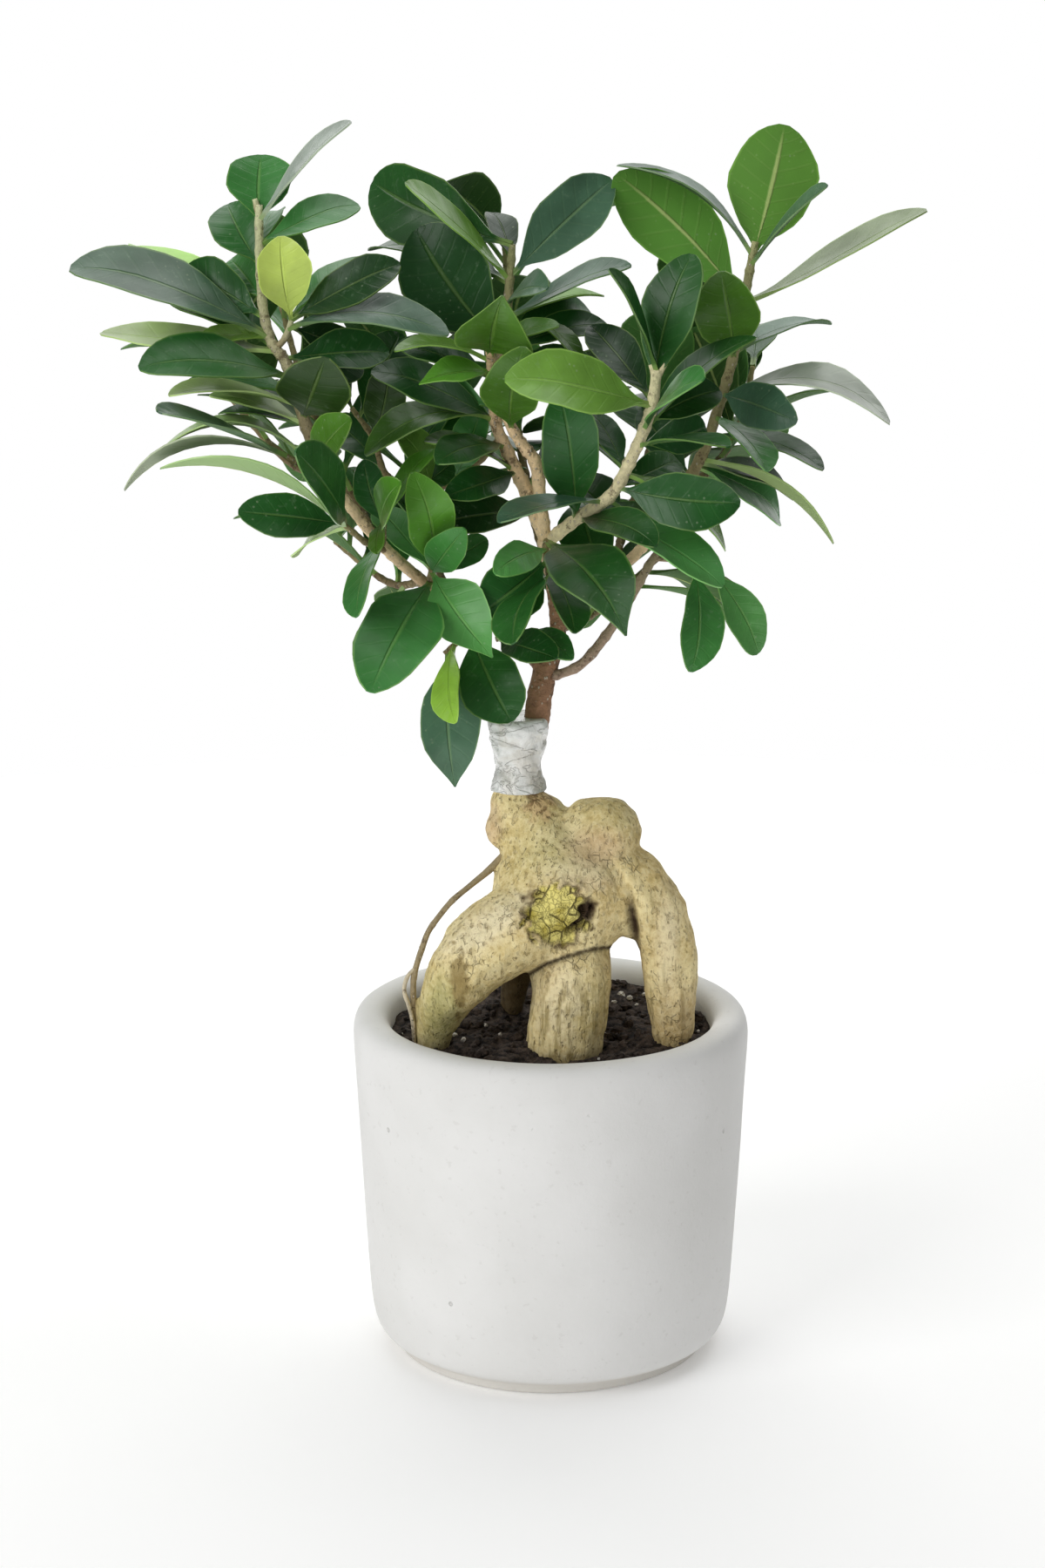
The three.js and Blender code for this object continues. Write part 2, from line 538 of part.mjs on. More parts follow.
// The scion: its trunk stands on the stump inside the tape and carries the bare limbs
const scionRoutes = {
  trunk: [[-5.5, STUMP_TOP + FIT_GAP, 0, 9.4], [-4, 236, 0, 9], [-2.5, 244, 0, 8.6], [2, 258, 0, 6],
    [1, 275, -1, 6], [-2, 291.5, -5, 6.8]],
  leftLimb: [[-3, 245, 0, 5.4], [-11, 255, -1, 4.7], [-20, 262.5, -3, 4.6], [-35, 271, -5, 4.5],
    [-45, 277, -8, 4.5], [-52, 283, -12, 4.5], [-60, 291, -16, 4.4], [-68, 301, -19, 4.3],
    [-74, 310, -21, 4.2], [-79, 317, -22, 4.2]],
  rightLimb: [[1.5, 260, 0, 5], [10, 268.5, 3, 4.6], [20, 278, 8, 4.5], [31, 288, 12, 4.4],
    [45, 308, 14, 4.2]],
};

function scionWood(grow = 0) {
  return joined([
    limb(scionRoutes.trunk, { sides: 8, grow }),
    limb(scionRoutes.leftLimb, { sides: 6, grow }),
    limb(scionRoutes.rightLimb, { sides: 6, grow }),
  ]);
}

// The graft tape: an hourglass sleeve that is drawn in over the stump, with a hole for the scion
function graftTape() {
  const outer = [[9.9, TAPE_BOTTOM], [8.6, 206.5], [7.9, 210.5], [8, 213.5], [9.5, 219.5], [10.5, 224],
    [10.9, 227.4], [10.3, TAPE_TOP]];
  const inner = outer.map(([r, z]) => [r - TAPE_WALL, Math.min(z, TAPE_TOP - TAPE_WALL)]);
  const profile = [...outer, [0, TAPE_TOP], [0, TAPE_TOP - TAPE_WALL], ...inner.reverse(), outer[0]];
  const sleeve = solid(lathe(profile, 18).translate(GRAFT_X, 0, 0));
  const trunk = limb(scionRoutes.trunk, { sides: 8, grow: FIT_GAP });
  return largestBody(sleeve.subtract(trunk));
}

// Materials
function material(color, roughness) {
  return new THREE.MeshStandardMaterial({ color, roughness, metalness: 0 });
}

const concrete = material(0xd9d6cf, 0.85);
const peat = material(0x33271f, 0.95);
const bark = material(0xa8966b, 0.75);
const film = material(0xdcdcd2, 0.35);
const twigWood = material(0x7a6142, 0.8);
const foliage = material(0x4f7a33, 0.4);

const bonsai = new THREE.Group();

function addNode(name, whole, finish) {
  const mesh = new THREE.Mesh(shapeOf(whole), finish);
  mesh.name = name;
  bonsai.add(mesh);
}

// The stems stand first, then each leaf takes the first way that is clear of what stands
const rootstockSolid = rootstock();
const tapeSolid = graftTape();
const woodSolid = scionWood();
stand(rootstockSolid, 'rootstock', 'wood');
stand(tapeSolid, 'graft_tape', 'film');
stand(woodSolid, 'scion_wood', 'wood');

const TWIG_SHAPE = { sides: 4, stepsPerSpan: 1 };
const stemRoutes = {};
for (const [name, shoot] of Object.entries(FRONT_SHOOTS)) stemRoutes[name] = shoot.stems;
for (const [name, shoot] of Object.entries(BACK_SHOOTS)) stemRoutes[name] = [shoot.stem];
for (const [name, routes] of Object.entries(stemRoutes)) {
  placedLeaves[name] = [];
  for (const route of routes) stand(limb(route, TWIG_SHAPE), name, 'stem');
}

const frontLines = [];
for (const [name, shoot] of Object.entries(FRONT_SHOOTS)) {
  for (const row of shoot.leaves) {
    const leaf = frontLeafWays(shoot, row).find((way) => isClear(way, name));
    placeLeaf(leaf, name);
    frontLines.push(frontLineOf(leaf, row[4]));
  }
}
Object.entries(BACK_SHOOTS).forEach(([name, shoot], shootNumber) => {
  for (let j = 0; j < shoot.leaves; j++) {
    const leaf = backLeafWays(shoot, shootNumber, j)
      .find((way) => hidden(way, frontLines) && isClear(way, name));
    if (leaf) placeLeaf(leaf, name);
  }
});

// Each leafy stem is one solid, cut clear of the wood and of the stems before it
addNode('pot', pot, concrete);
addNode('soil', soil(), peat);
addNode('rootstock', rootstockSolid, bark);
addNode('graft_tape', tapeSolid, film);
addNode('scion_wood', woodSolid, twigWood);
const carriers = [scionWood(FIT_GAP)];
for (const [name, routes] of Object.entries(stemRoutes)) {
  const stems = routes.map((route) => limb(route, TWIG_SHAPE));
  const whole = joined([...stems, ...placedLeaves[name]]);
  addNode(name, largestBody(carriers.reduce((rest, carrier) => rest.subtract(carrier), whole)), foliage);
  for (const route of routes) carriers.push(limb(route, { ...TWIG_SHAPE, grow: FIT_GAP }));
}

export default bonsai;
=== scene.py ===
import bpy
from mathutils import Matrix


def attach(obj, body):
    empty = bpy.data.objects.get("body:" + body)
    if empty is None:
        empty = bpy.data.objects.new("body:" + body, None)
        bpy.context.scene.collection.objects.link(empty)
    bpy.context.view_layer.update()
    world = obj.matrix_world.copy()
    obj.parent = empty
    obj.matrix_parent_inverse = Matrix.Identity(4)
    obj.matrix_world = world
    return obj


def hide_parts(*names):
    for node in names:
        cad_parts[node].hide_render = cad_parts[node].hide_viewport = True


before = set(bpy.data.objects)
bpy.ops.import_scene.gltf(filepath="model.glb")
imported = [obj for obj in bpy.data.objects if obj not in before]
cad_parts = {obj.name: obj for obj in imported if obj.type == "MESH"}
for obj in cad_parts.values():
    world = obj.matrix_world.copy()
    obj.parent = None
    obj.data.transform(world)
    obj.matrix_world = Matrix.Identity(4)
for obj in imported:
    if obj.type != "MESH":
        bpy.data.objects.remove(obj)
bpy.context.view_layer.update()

# A ficus ginseng bonsai in a plain round pot, dressed over its solids. The shoots and the pot's
# profile are given in millimetres, all that Blender gets is in metres.
import math
from random import Random

import bmesh
import bpy
import numpy as np
from mathutils import Vector, noise

MM = 0.001

# Noise vectors, which bend the limbs a little, are the same in each run only with a set seed
NOISE_SEED = 11
noise.seed_set(NOISE_SEED)


# ---------------------------------------------------------------------------------------------
# Camera: the front view, in which the shoots below are drawn
# ---------------------------------------------------------------------------------------------
EYE = Vector((-10, -1149, 490))
EYE_PITCH = 13.95

bpy.ops.object.select_all(action="DESELECT")
bpy.ops.object.camera_add(location=EYE * MM, rotation=(math.radians(90 - EYE_PITCH), 0, 0))
camera = bpy.context.object
camera.name = "front_camera"
camera.data.sensor_fit = "VERTICAL"
camera.data.sensor_height = 36
camera.data.lens = 78
camera.data.clip_end = 60
bpy.context.scene.camera = camera


# ---------------------------------------------------------------------------------------------
# The shoots. A stem is a route of [x, z, y, diameter], x and z as the front view shows them on
# the plane y = 0. A leaf is [stalk x, stalk z, tip x, tip z, width seen, how much deeper its tip
# lies, bow of its middle]. A width below 0 shows the underside. Tones has a letter for each leaf,
# a small one for a pointed leaf.
# ---------------------------------------------------------------------------------------------
FRONT_SHOOTS = {
    "leafy_stem_left": {
        "tones": "MSNMMMGDTPDLNMPPDKYMGXXDX",
        "stems": [
            [[-79, 317, -22, 4.2], [-83.5, 330, -22, 4], [-89.5, 350, -22, 3.8],
              [-93.5, 356, -21, 3.6], [-95.5, 360, -20, 3.4], [-97.5, 371, -18, 3.2],
              [-98.2, 388, -16, 3], [-98.3, 404, -14, 2.6]],
            [[-93.5, 356, -21, 2.2], [-90, 360, -22, 2.2], [-87.5, 367, -22, 1.8]],
        ],
        "leaves": [
            [-99, 397, -97, 420.5, 22, 12], [-95, 399, -68, 432, 3.5, -10, 1],
            [-99, 384, -109, 405, 17, 16], [-97, 390, -92, 403, 9, 25],
            [-96, 390.5, -65, 405.5, 9.5, 10], [-98, 372, -108, 386, 14, 22],
            [-98.5, 359, -160.7, 386, 15, -10], [-100, 366, -125, 383, 18, 6],
            [-99, 366, -139, 391.5, 8, 44, 0], [-97, 352, -152, 361.5, 9, 16, 0],
            [-95, 355, -128, 374, 14, 14], [-96, 360, -120, 359, 6, 20],
            [-91, 345, -139, 351, 14, -22, 3], [-87, 340, -128, 344, 7, 20],
            [-86, 337, -129.7, 341, 3, -12], [-83, 330, -116, 340.5, 5, 4],
            [-84, 330, -113, 335, 5, 10], [-83, 333, -77, 352, 24, -26],
            [-88, 366, -91, 393.5, 18, -6], [-87, 366, -62.6, 387, 6, 16],
            [-87, 362, -35, 361, 11, -12, 7], [-86, 365, -51.5, 385, 13, 2],
            [-88, 363, -66, 353, 12, 18], [-91, 352, -55, 355, 13, 16],
            [-85, 342, -64, 352, 13, 22],
        ],
    },
    "leafy_twig_left_low": {
        "tones": "APGS",
        "stems": [[[-79, 316, -22, 2.4], [-88, 318, -28, 2.2], [-97, 325, -30, 1.8]]],
        "leaves": [
            [-81, 317, -69, 332, 12, -22], [-81, 316, -131, 324, 2.5, -4, 10],
            [-93, 318, -133, 335, 2.5, -2, 1], [-91, 318, -146, 309, -1.5, -3, 9],
        ],
    },
    "leafy_twig_left_front": {
        "tones": "PNNP",
        "stems": [[[-57, 287, -15, 2.4], [-64, 290, -24, 2.2], [-71, 296, -28, 1.9]]],
        "leaves": [
            [-72, 300, -133, 316.5, -3, -8, 7], [-72, 300, -87, 321, 13, -10],
            [-70, 301, -107, 300.5, 15, -14, 3], [-71, 294, -87, 286, 4, 28],
        ],
    },
    "leafy_spur_left": {
        "tones": "VMMbMB",
        "stems": [[[-41.5, 275, -8, 2.4], [-41.5, 278, -13, 2.2], [-41, 281, -18, 2]]],
        "leaves": [
            [-41.5, 280, -46, 312, 16, -20], [-40, 279, -31, 293, 13, -30],
            [-38, 279, -22, 291, 10, 8], [-42, 280, -21, 250.5, 21, -22],
            [-43, 276, -62, 240, 26, -16], [-41, 280, -60, 303, 12, 16],
        ],
    },
    "leafy_spur_left_outer": {
        "tones": "VVAMD",
        "stems": [[[-58, 289, -16, 2.2], [-57.5, 292, -20, 2], [-57.5, 297, -24, 1.8]]],
        "leaves": [
            [-57, 297, -40, 322, 6, 10], [-58, 295, -53, 310, 7, -28], [-56, 297, -60, 286, 5, -14],
            [-58, 291, -68, 265, 7.5, -16], [-57, 296, -64, 318, 11, -20],
        ],
    },
    "leafy_stem_centre": {
        "tones": "aALDDvANDXAMVA",
        "stems": [
            [[-2, 291, -5, 4.4], [-3.5, 302, -8.5, 4.2], [-5.5, 317, -12, 4.4],
              [-9.5, 323, -13, 3.8], [-14, 330, -14, 3.6], [-20, 345, -11, 3.6]],
            [[-2, 291, -5, 5], [-8.5, 307, -4, 5], [-12, 314, -4, 4.8], [-15.5, 322, -4, 4.4],
              [-19, 331, -5, 4], [-20, 345, -11, 3.8], [-21, 356, -20, 2.8]],
        ],
        "leaves": [
            [-21, 354, -17, 373, 26, -20], [-20, 353, 2, 364.5, 4, -8, 3],
            [-22, 351, -53, 356.5, 3, -8, 3], [-20, 346, -52, 358, 9, -2],
            [-19, 331, -60, 350, 13, -8], [-21, 348, -44.5, 345.5, 8, -16, 2],
            [-13, 329, -10, 355, 20, -26], [-16, 323, -39, 318, 9, -30],
            [-12, 314, -36, 306, 12, -22], [-5, 299, -40, 296, 14, -20],
            [-19, 332, -63.5, 320, 9, -14, 8], [-20, 336, -46, 343, 13, 18],
            [-12, 315, -47, 329, 3.5, 18], [-12, 313, -43, 325, 4, -30, 3],
        ],
    },
    "leafy_stem_inner_left": {
        "tones": "DKLNNMNX",
        "stems": [[[-17, 326, -4, 2.6], [-26, 317, 4, 2.6], [-40, 308, 10, 2.5], [-50, 309, 9, 2.4],
            [-57, 314, 6, 2.3], [-61, 326, 5, 2.1], [-68, 336, 4, 1.7]]],
        "leaves": [
            [-66, 333, -51, 362, 18, 14], [-60, 326, -55, 350, 14, -22],
            [-42, 309, -51, 328, 10, -26], [-50, 310, -36, 335, 9, 24],
            [-57, 314, -76, 333, 12, 16], [-33, 312, -24, 336, 12, 20],
            [-46, 308, -29, 322, 11, -18], [-67, 335, -80, 356, 12, 12],
        ],
    },
    "leafy_stem_top": {
        "tones": "NLDDXGGGLDDADD",
        "stems": [[[-20, 341, -11, 3.4], [-17.5, 352, 0, 3.4], [-15.5, 365, 6, 3.3],
            [-14.5, 377, 8, 3.2], [-13.5, 391, 8, 2.5]]],
        "leaves": [
            [-16, 392, -62.5, 413, 26, 24, 5], [-15, 379, -49, 411, 7, -18, 1],
            [-20, 357, -44, 394, 30, 6], [-15, 378, -60, 391, 11, 20], [-14, 385, -20, 402, 9, 20],
            [-14, 380, 20, 412.5, 20, 6], [-14.5, 366, 25.5, 385.5, 5.5, -10, 1],
            [-16, 371, -2.5, 377, 6, -28], [-15, 366, 17, 374.5, 4, 16],
            [-16, 359, 14, 370, 14, 18], [-17, 355, 19, 365, 9, 14], [-17, 357, 10, 351, 3, -8, 9],
            [-18, 350, 20, 346, 12, 24], [-17, 354, -42, 372, 13, 18],
        ],
    },
    "leafy_stem_right_front": {
        "tones": "LNGNDMDDBDDLDXDDDD",
        "stems": [[[-2, 290, -5, 4.4], [5.5, 295.5, -10, 4.3], [13, 301, -16, 4.3],
            [20.5, 306.5, -21, 4.3], [26.5, 317.5, -26, 4.2], [31, 328, -27, 4.1],
            [34, 337.5, -28, 3.9], [35.5, 349, -30, 3.4]]],
        "leaves": [
            [32, 337, -14, 348, 18, -14], [7, 299, 3, 341, 20, -20], [17, 305, -18, 297, 6, -24],
            [34, 341, 46.5, 388, 18, 6], [32, 326, 68, 361, 7.5, 8], [32, 328, 51, 346, 3, -34],
            [30, 322, 60, 323, 2.5, -30, 2], [22, 309, 63.5, 303.5, 19, -12],
            [13, 300, 59, 275, 13, -14], [9, 297, 35, 291, 10, -30], [20, 303, 42, 286, 6, 16],
            [27, 312, 61, 289, 7, 12], [35.5, 348, 20, 383, 2.5, 12, 1], [34, 338, 13, 364, 14, 22],
            [31, 331, 57, 342, 13, 14], [29, 324, 53, 330, 13, 18], [22, 309, 44, 319, 11, 18],
            [24, 314, 13, 335, 9, 16],
        ],
    },
    "leafy_stem_right": {
        "tones": "SGMDXPMAGUUGGQD",
        "stems": [[[45, 308, 14, 4.2], [52, 322, 14, 3.8], [57, 338, 13, 3.6], [61, 352, 12, 3.4],
            [64, 368, 10, 3.2], [66, 380, 10, 3], [68, 392, 10, 2.4]]],
        "leaves": [
            [57, 339, 115, 333.5, 9, -8, 9.5], [54, 341, 82.5, 331.5, 16, -26, 3],
            [54, 333, 73.5, 315.5, 9, -36], [53, 326, 92.5, 315, 6.5, -14, 4],
            [50, 317, 83, 306.5, 7, 16], [51, 318, 96.5, 289.5, -2, 26, 6],
            [52, 314, 80, 299, 12, 24], [61, 354, 57, 381.5, 22, -26],
            [62, 355, 93.5, 365.5, 5, 22], [64, 371, 21.5, 414, -26, 8],
            [66, 386, 77, 430, -30, 10], [66, 387, 21.5, 417, 3, 22, 7],
            [66, 384, 91.5, 410.5, 2, -22, 1], [65, 371, 124, 404.5, 7, -6, -2.5],
            [47, 313, 30, 336, 13, 14],
        ],
    },
    "leafy_twig_right_low": {
        "tones": "MB",
        "stems": [
            [[-3, 242, 0, 3.4], [10, 247, -4, 3.4], [20, 259, -5, 3.2], [28, 272, -6, 3],
              [34, 283, -7, 2.8], [38, 287.5, -8, 2.4]],
            [[35, 284, -7, 1.7], [43, 283.5, -11, 1.7], [54, 280.5, -14, 1.6]],
        ],
        "leaves": [[48, 282, 49, 245, 14, -18], [54, 280.5, 71.5, 251, 13, 4]],
    },
    "leafy_spur_trunk": {
        "tones": "BNNnD",
        "stems": [[[-1.5, 291, -6, 2.6], [-2, 287, -11.5, 2.4], [-1, 277, -14, 2]]],
        "leaves": [
            [-2, 287, -19, 280, 11, -24], [-2, 283, -24, 265, 21, -16],
            [-1, 278, -14, 256, 10, -28], [1, 289, 25.5, 260, 23, -18],
            [-1, 281, 8, 258.5, 11, -34],
        ],
    },
    "leafy_spur_low": {
        "tones": "DM",
        "stems": [[[-7, 254, -1, 2.2], [-12, 257.5, -8, 2], [-19, 256, -11, 1.8]]],
        "leaves": [[-18, 255, 1.5, 249.5, 12, -26], [-12, 257.5, 6.5, 251, 9, -32]],
    },
    "leafy_twig_hanging": {
        "tones": "NTh",
        "stems": [[[-22, 263, -2, 2.2], [-30, 257, -9, 2], [-37, 251, -12, 1.8]]],
        "leaves": [
            [-26, 256, -14, 227, 22, -14], [-34, 254, -34, 227, 9, -26],
            [-35, 251, -33.5, 203, 21, -6],
        ],
    },
}

BACK_SHOOTS = {
    "leafy_stem_back_left": {
        "leaves": 10,
        "stem": [[-60, 291, -15, 3.2], [-68, 306, 14, 3], [-78, 326, 40, 2.8], [-86, 350, 56, 2.5],
            [-92, 374, 64, 2]],
    },
    "leafy_stem_back_outer_left": {
        "leaves": 8,
        "stem": [[-74, 310, -20, 2.8], [-90, 318, 8, 2.6], [-106, 336, 30, 2.3],
            [-116, 354, 42, 1.9]],
    },
    "leafy_stem_back_inner_left": {
        "leaves": 11,
        "stem": [[-35, 271, -4, 3.2], [-42, 288, 26, 3], [-48, 316, 52, 2.6], [-52, 348, 66, 2]],
    },
    "leafy_stem_back_centre": {
        "leaves": 12,
        "stem": [[1, 275, 0, 3.4], [-6, 298, 28, 3.1], [-12, 332, 54, 2.8], [-14, 362, 66, 2.4],
            [-16, 392, 70, 2]],
    },
    "leafy_stem_back_right": {
        "leaves": 12,
        "stem": [[20, 278, 8, 3.2], [26, 298, 38, 2.9], [36, 330, 60, 2.5], [48, 362, 70, 2]],
    },
    "leafy_stem_back_outer_right": {
        "leaves": 8,
        "stem": [[45, 308, 14, 3], [56, 317, 36, 2.7], [64, 331, 52, 2.4], [68, 350, 60, 1.9]],
    },
    "leafy_twig_back_low_left": {
        "leaves": 7,
        "stem": [[-44, 276, -8, 2.8], [-56, 276, 18, 2.5], [-74, 290, 42, 1.9]],
    },
    "leafy_twig_back_low_right": {
        "leaves": 7,
        "stem": [[2, 259, 0, 2.8], [16, 266, 26, 2.5], [36, 284, 46, 1.9]],
    },
}


def seen(x, z, y):
    """The place at depth y that the front view shows at x and z."""
    reach = 1 - y / EYE.y
    return Vector((EYE.x + (x - EYE.x) * reach, y, EYE.z + (z - EYE.z) * reach))


def in_front_view(place):
    reach = 1 - place.y / EYE.y
    return EYE.x + (place.x - EYE.x) / reach, EYE.z + (place.z - EYE.z) / reach


def chance(count):
    """A number from 0 to 1, always the same for the same count."""
    wave = math.sin(count * 12.9898 + 78.233) * 43758.5453
    return wave - math.floor(wave)


class Route:
    """A smooth line through the places of a stem, with its thickness there."""

    def __init__(self, places):
        self.places = [seen(x, z, y) for x, z, y, _ in places]
        self.diameters = [place[3] for place in places]
        self.spans = len(places) - 1

    def span(self, share):
        along = self.spans * share
        number = min(int(along), self.spans - 1)
        return number, along - number

    def at(self, share):
        i, w = self.span(share)
        line = self.places
        before = line[i - 1] if i else 2 * line[0] - line[1]
        after = line[i + 2] if i + 2 <= self.spans else 2 * line[-1] - line[-2]
        leave, arrive = (line[i + 1] - before) / 2, (after - line[i]) / 2
        rise = line[i + 1] - line[i]
        return (line[i] + leave * w + (3 * rise - 2 * leave - arrive) * w * w
                + (leave + arrive - 2 * rise) * w ** 3)

    def thickness(self, share):
        i, w = self.span(share)
        return self.diameters[i] * (1 - w) + self.diameters[i + 1] * w

    def length(self):
        return sum((b - a).length for a, b in zip(self.places, self.places[1:]))


# ---------------------------------------------------------------------------------------------
# Finishes: the maths of their nodes, written as sums
# ---------------------------------------------------------------------------------------------
class Tint:
    """A socket of a finish. A sum, difference or product of numbers adds its Math node."""

    def __init__(self, finish, socket):
        self.finish, self.socket = finish, socket

    def maths(self, operation, *values):
        return self.finish.node("ShaderNodeMath", {"operation": operation}, dict(enumerate(values)))

    def __add__(self, other):
        return self.maths("ADD", self, other)

    def __mul__(self, other):
        return self.maths("MULTIPLY", self, other)

    def __sub__(self, other):
        return self.maths("SUBTRACT", self, other)

    def __rsub__(self, other):
        return self.maths("SUBTRACT", other, self)

    __radd__ = __add__
    __rmul__ = __mul__

    def __abs__(self):
        return self.maths("ABSOLUTE", self)

    def wave(self):
        return self.maths("SINE", self)

    def step(self, low, high):
        """0 below low, 1 above high and a soft rise between, or the other way round."""
        return self.finish.node(
            "ShaderNodeMapRange", {"interpolation_type": "SMOOTHSTEP"},
            {"Value": self, "From Min": low, "From Max": high})


class Finish:
    """A material with its Principled shader; constants go on the shader's own sockets."""

    def __init__(self, name, **constants):
        self.material = bpy.data.materials.new(name)
        self.material.use_nodes = True
        self.tree = self.material.node_tree
        self.shader = self.tree.nodes["Principled BSDF"]
        for socket, value in constants.items():
            self.shader.inputs[socket.replace("_", " ")].default_value = value

    def node(self, kind, settings=None, inputs=None, output=0):
        made = self.tree.nodes.new(kind)
        for setting, value in (settings or {}).items():
            setattr(made, setting, value)
        for socket, value in (inputs or {}).items():
            if isinstance(value, Tint):
                self.tree.links.new(value.socket, made.inputs[socket])
            else:
                made.inputs[socket].default_value = value
        return Tint(self, made.outputs[output])

    def place(self, stretch=(1, 1, 1)):
        """Object coordinates in metres, stretched along each axis."""
        where = self.node("ShaderNodeTexCoord", output="Object")
        if stretch == (1, 1, 1):
            return where
        return self.node("ShaderNodeVectorMath", {"operation": "MULTIPLY"}, {0: where, 1: stretch})

    def noise(self, scale, detail=3, rough=0.5, warp=0.0, where=None):
        return self.node("ShaderNodeTexNoise", None, {
            "Vector": where or self.place(), "Scale": scale, "Detail": detail,
            "Roughness": rough, "Distortion": warp})

    def cells(self, scale, feature="F1", where=None):
        return self.node("ShaderNodeTexVoronoi", {"feature": feature}, {
            "Vector": where or self.place(), "Scale": scale}, "Distance")

    def split(self, vector, axis):
        return self.node("ShaderNodeSeparateXYZ", None, {0: vector}, axis)

    def painted(self, name, output="Fac"):
        return self.node("ShaderNodeAttribute", {"attribute_name": name}, None, output)

    def mix(self, share, first, second):
        first, second = [c if isinstance(c, Tint) else (*c, 1) for c in (first, second)]
        return self.node("ShaderNodeMix", {"data_type": "RGBA"}, {0: share, 6: first, 7: second}, 2)

    def scaled(self, color, share):
        """A colour made lighter or darker by a number."""
        return self.node("ShaderNodeVectorMath", {"operation": "SCALE"}, {0: color, "Scale": share})

    def relief(self, height, depth):
        """Raises the look of the surface by this depth, in metres, for a height of 1."""
        bump = self.node("ShaderNodeBump", None, {"Height": height, "Distance": depth})
        self.tree.links.new(bump.socket, self.shader.inputs["Normal"])

    def feed(self, **sockets):
        for name, value in sockets.items():
            self.tree.links.new(value.socket, self.shader.inputs[name.replace("_", " ")])
        return self.material


def cement_finish():
    f = Finish("pale_cement", Specular_IOR_Level=0.35)
    height = f.split(f.place(), "Z")
    clouds = f.noise(22, 4)
    speckle = f.noise(420, 2)
    holes = f.cells(95).step(0.10, 0.05) * f.noise(60, 1).step(0.60, 0.66)
    foot = height.step(0.0075, 0.004)
    color = f.mix(clouds.step(0.3, 0.7), (0.76, 0.755, 0.735), (0.82, 0.815, 0.80))
    color = f.mix(speckle.step(0.62, 0.75) * 0.25, color, (0.60, 0.585, 0.555))
    color = f.mix(foot * 0.55, color, (0.66, 0.62, 0.55))
    color = f.mix(holes * 0.42, color, (0.46, 0.44, 0.41))
    f.relief(f.noise(260, 4, 0.6) * 0.35 + speckle * 0.2 - holes, 0.0004)
    return f.feed(Base_Color=color, Roughness=0.62 + clouds * 0.2)


def peat_finish():
    f = Finish("dark_peat", Specular_IOR_Level=0.25)
    clods = f.noise(260, 5, 0.75).step(0.35, 0.68)
    color = f.mix(clods, (0.008, 0.006, 0.0055), (0.105, 0.078, 0.062))
    f.relief(f.noise(700, 4, 0.7), 0.0012)
    return f.feed(Base_Color=color, Roughness=f.noise(150, 2).step(0.2, 0.8) * 0.2 + 0.78)


def perlite_finish():
    f = Finish("white_perlite", Specular_IOR_Level=0.3)
    color = f.mix(f.noise(900, 3).step(0.4, 0.7), (0.80, 0.77, 0.71), (0.52, 0.46, 0.40))
    f.relief(f.noise(1500, 2), 0.0004)
    return f.feed(Base_Color=color, Roughness=f.noise(400, 1) * 0.2 + 0.7)


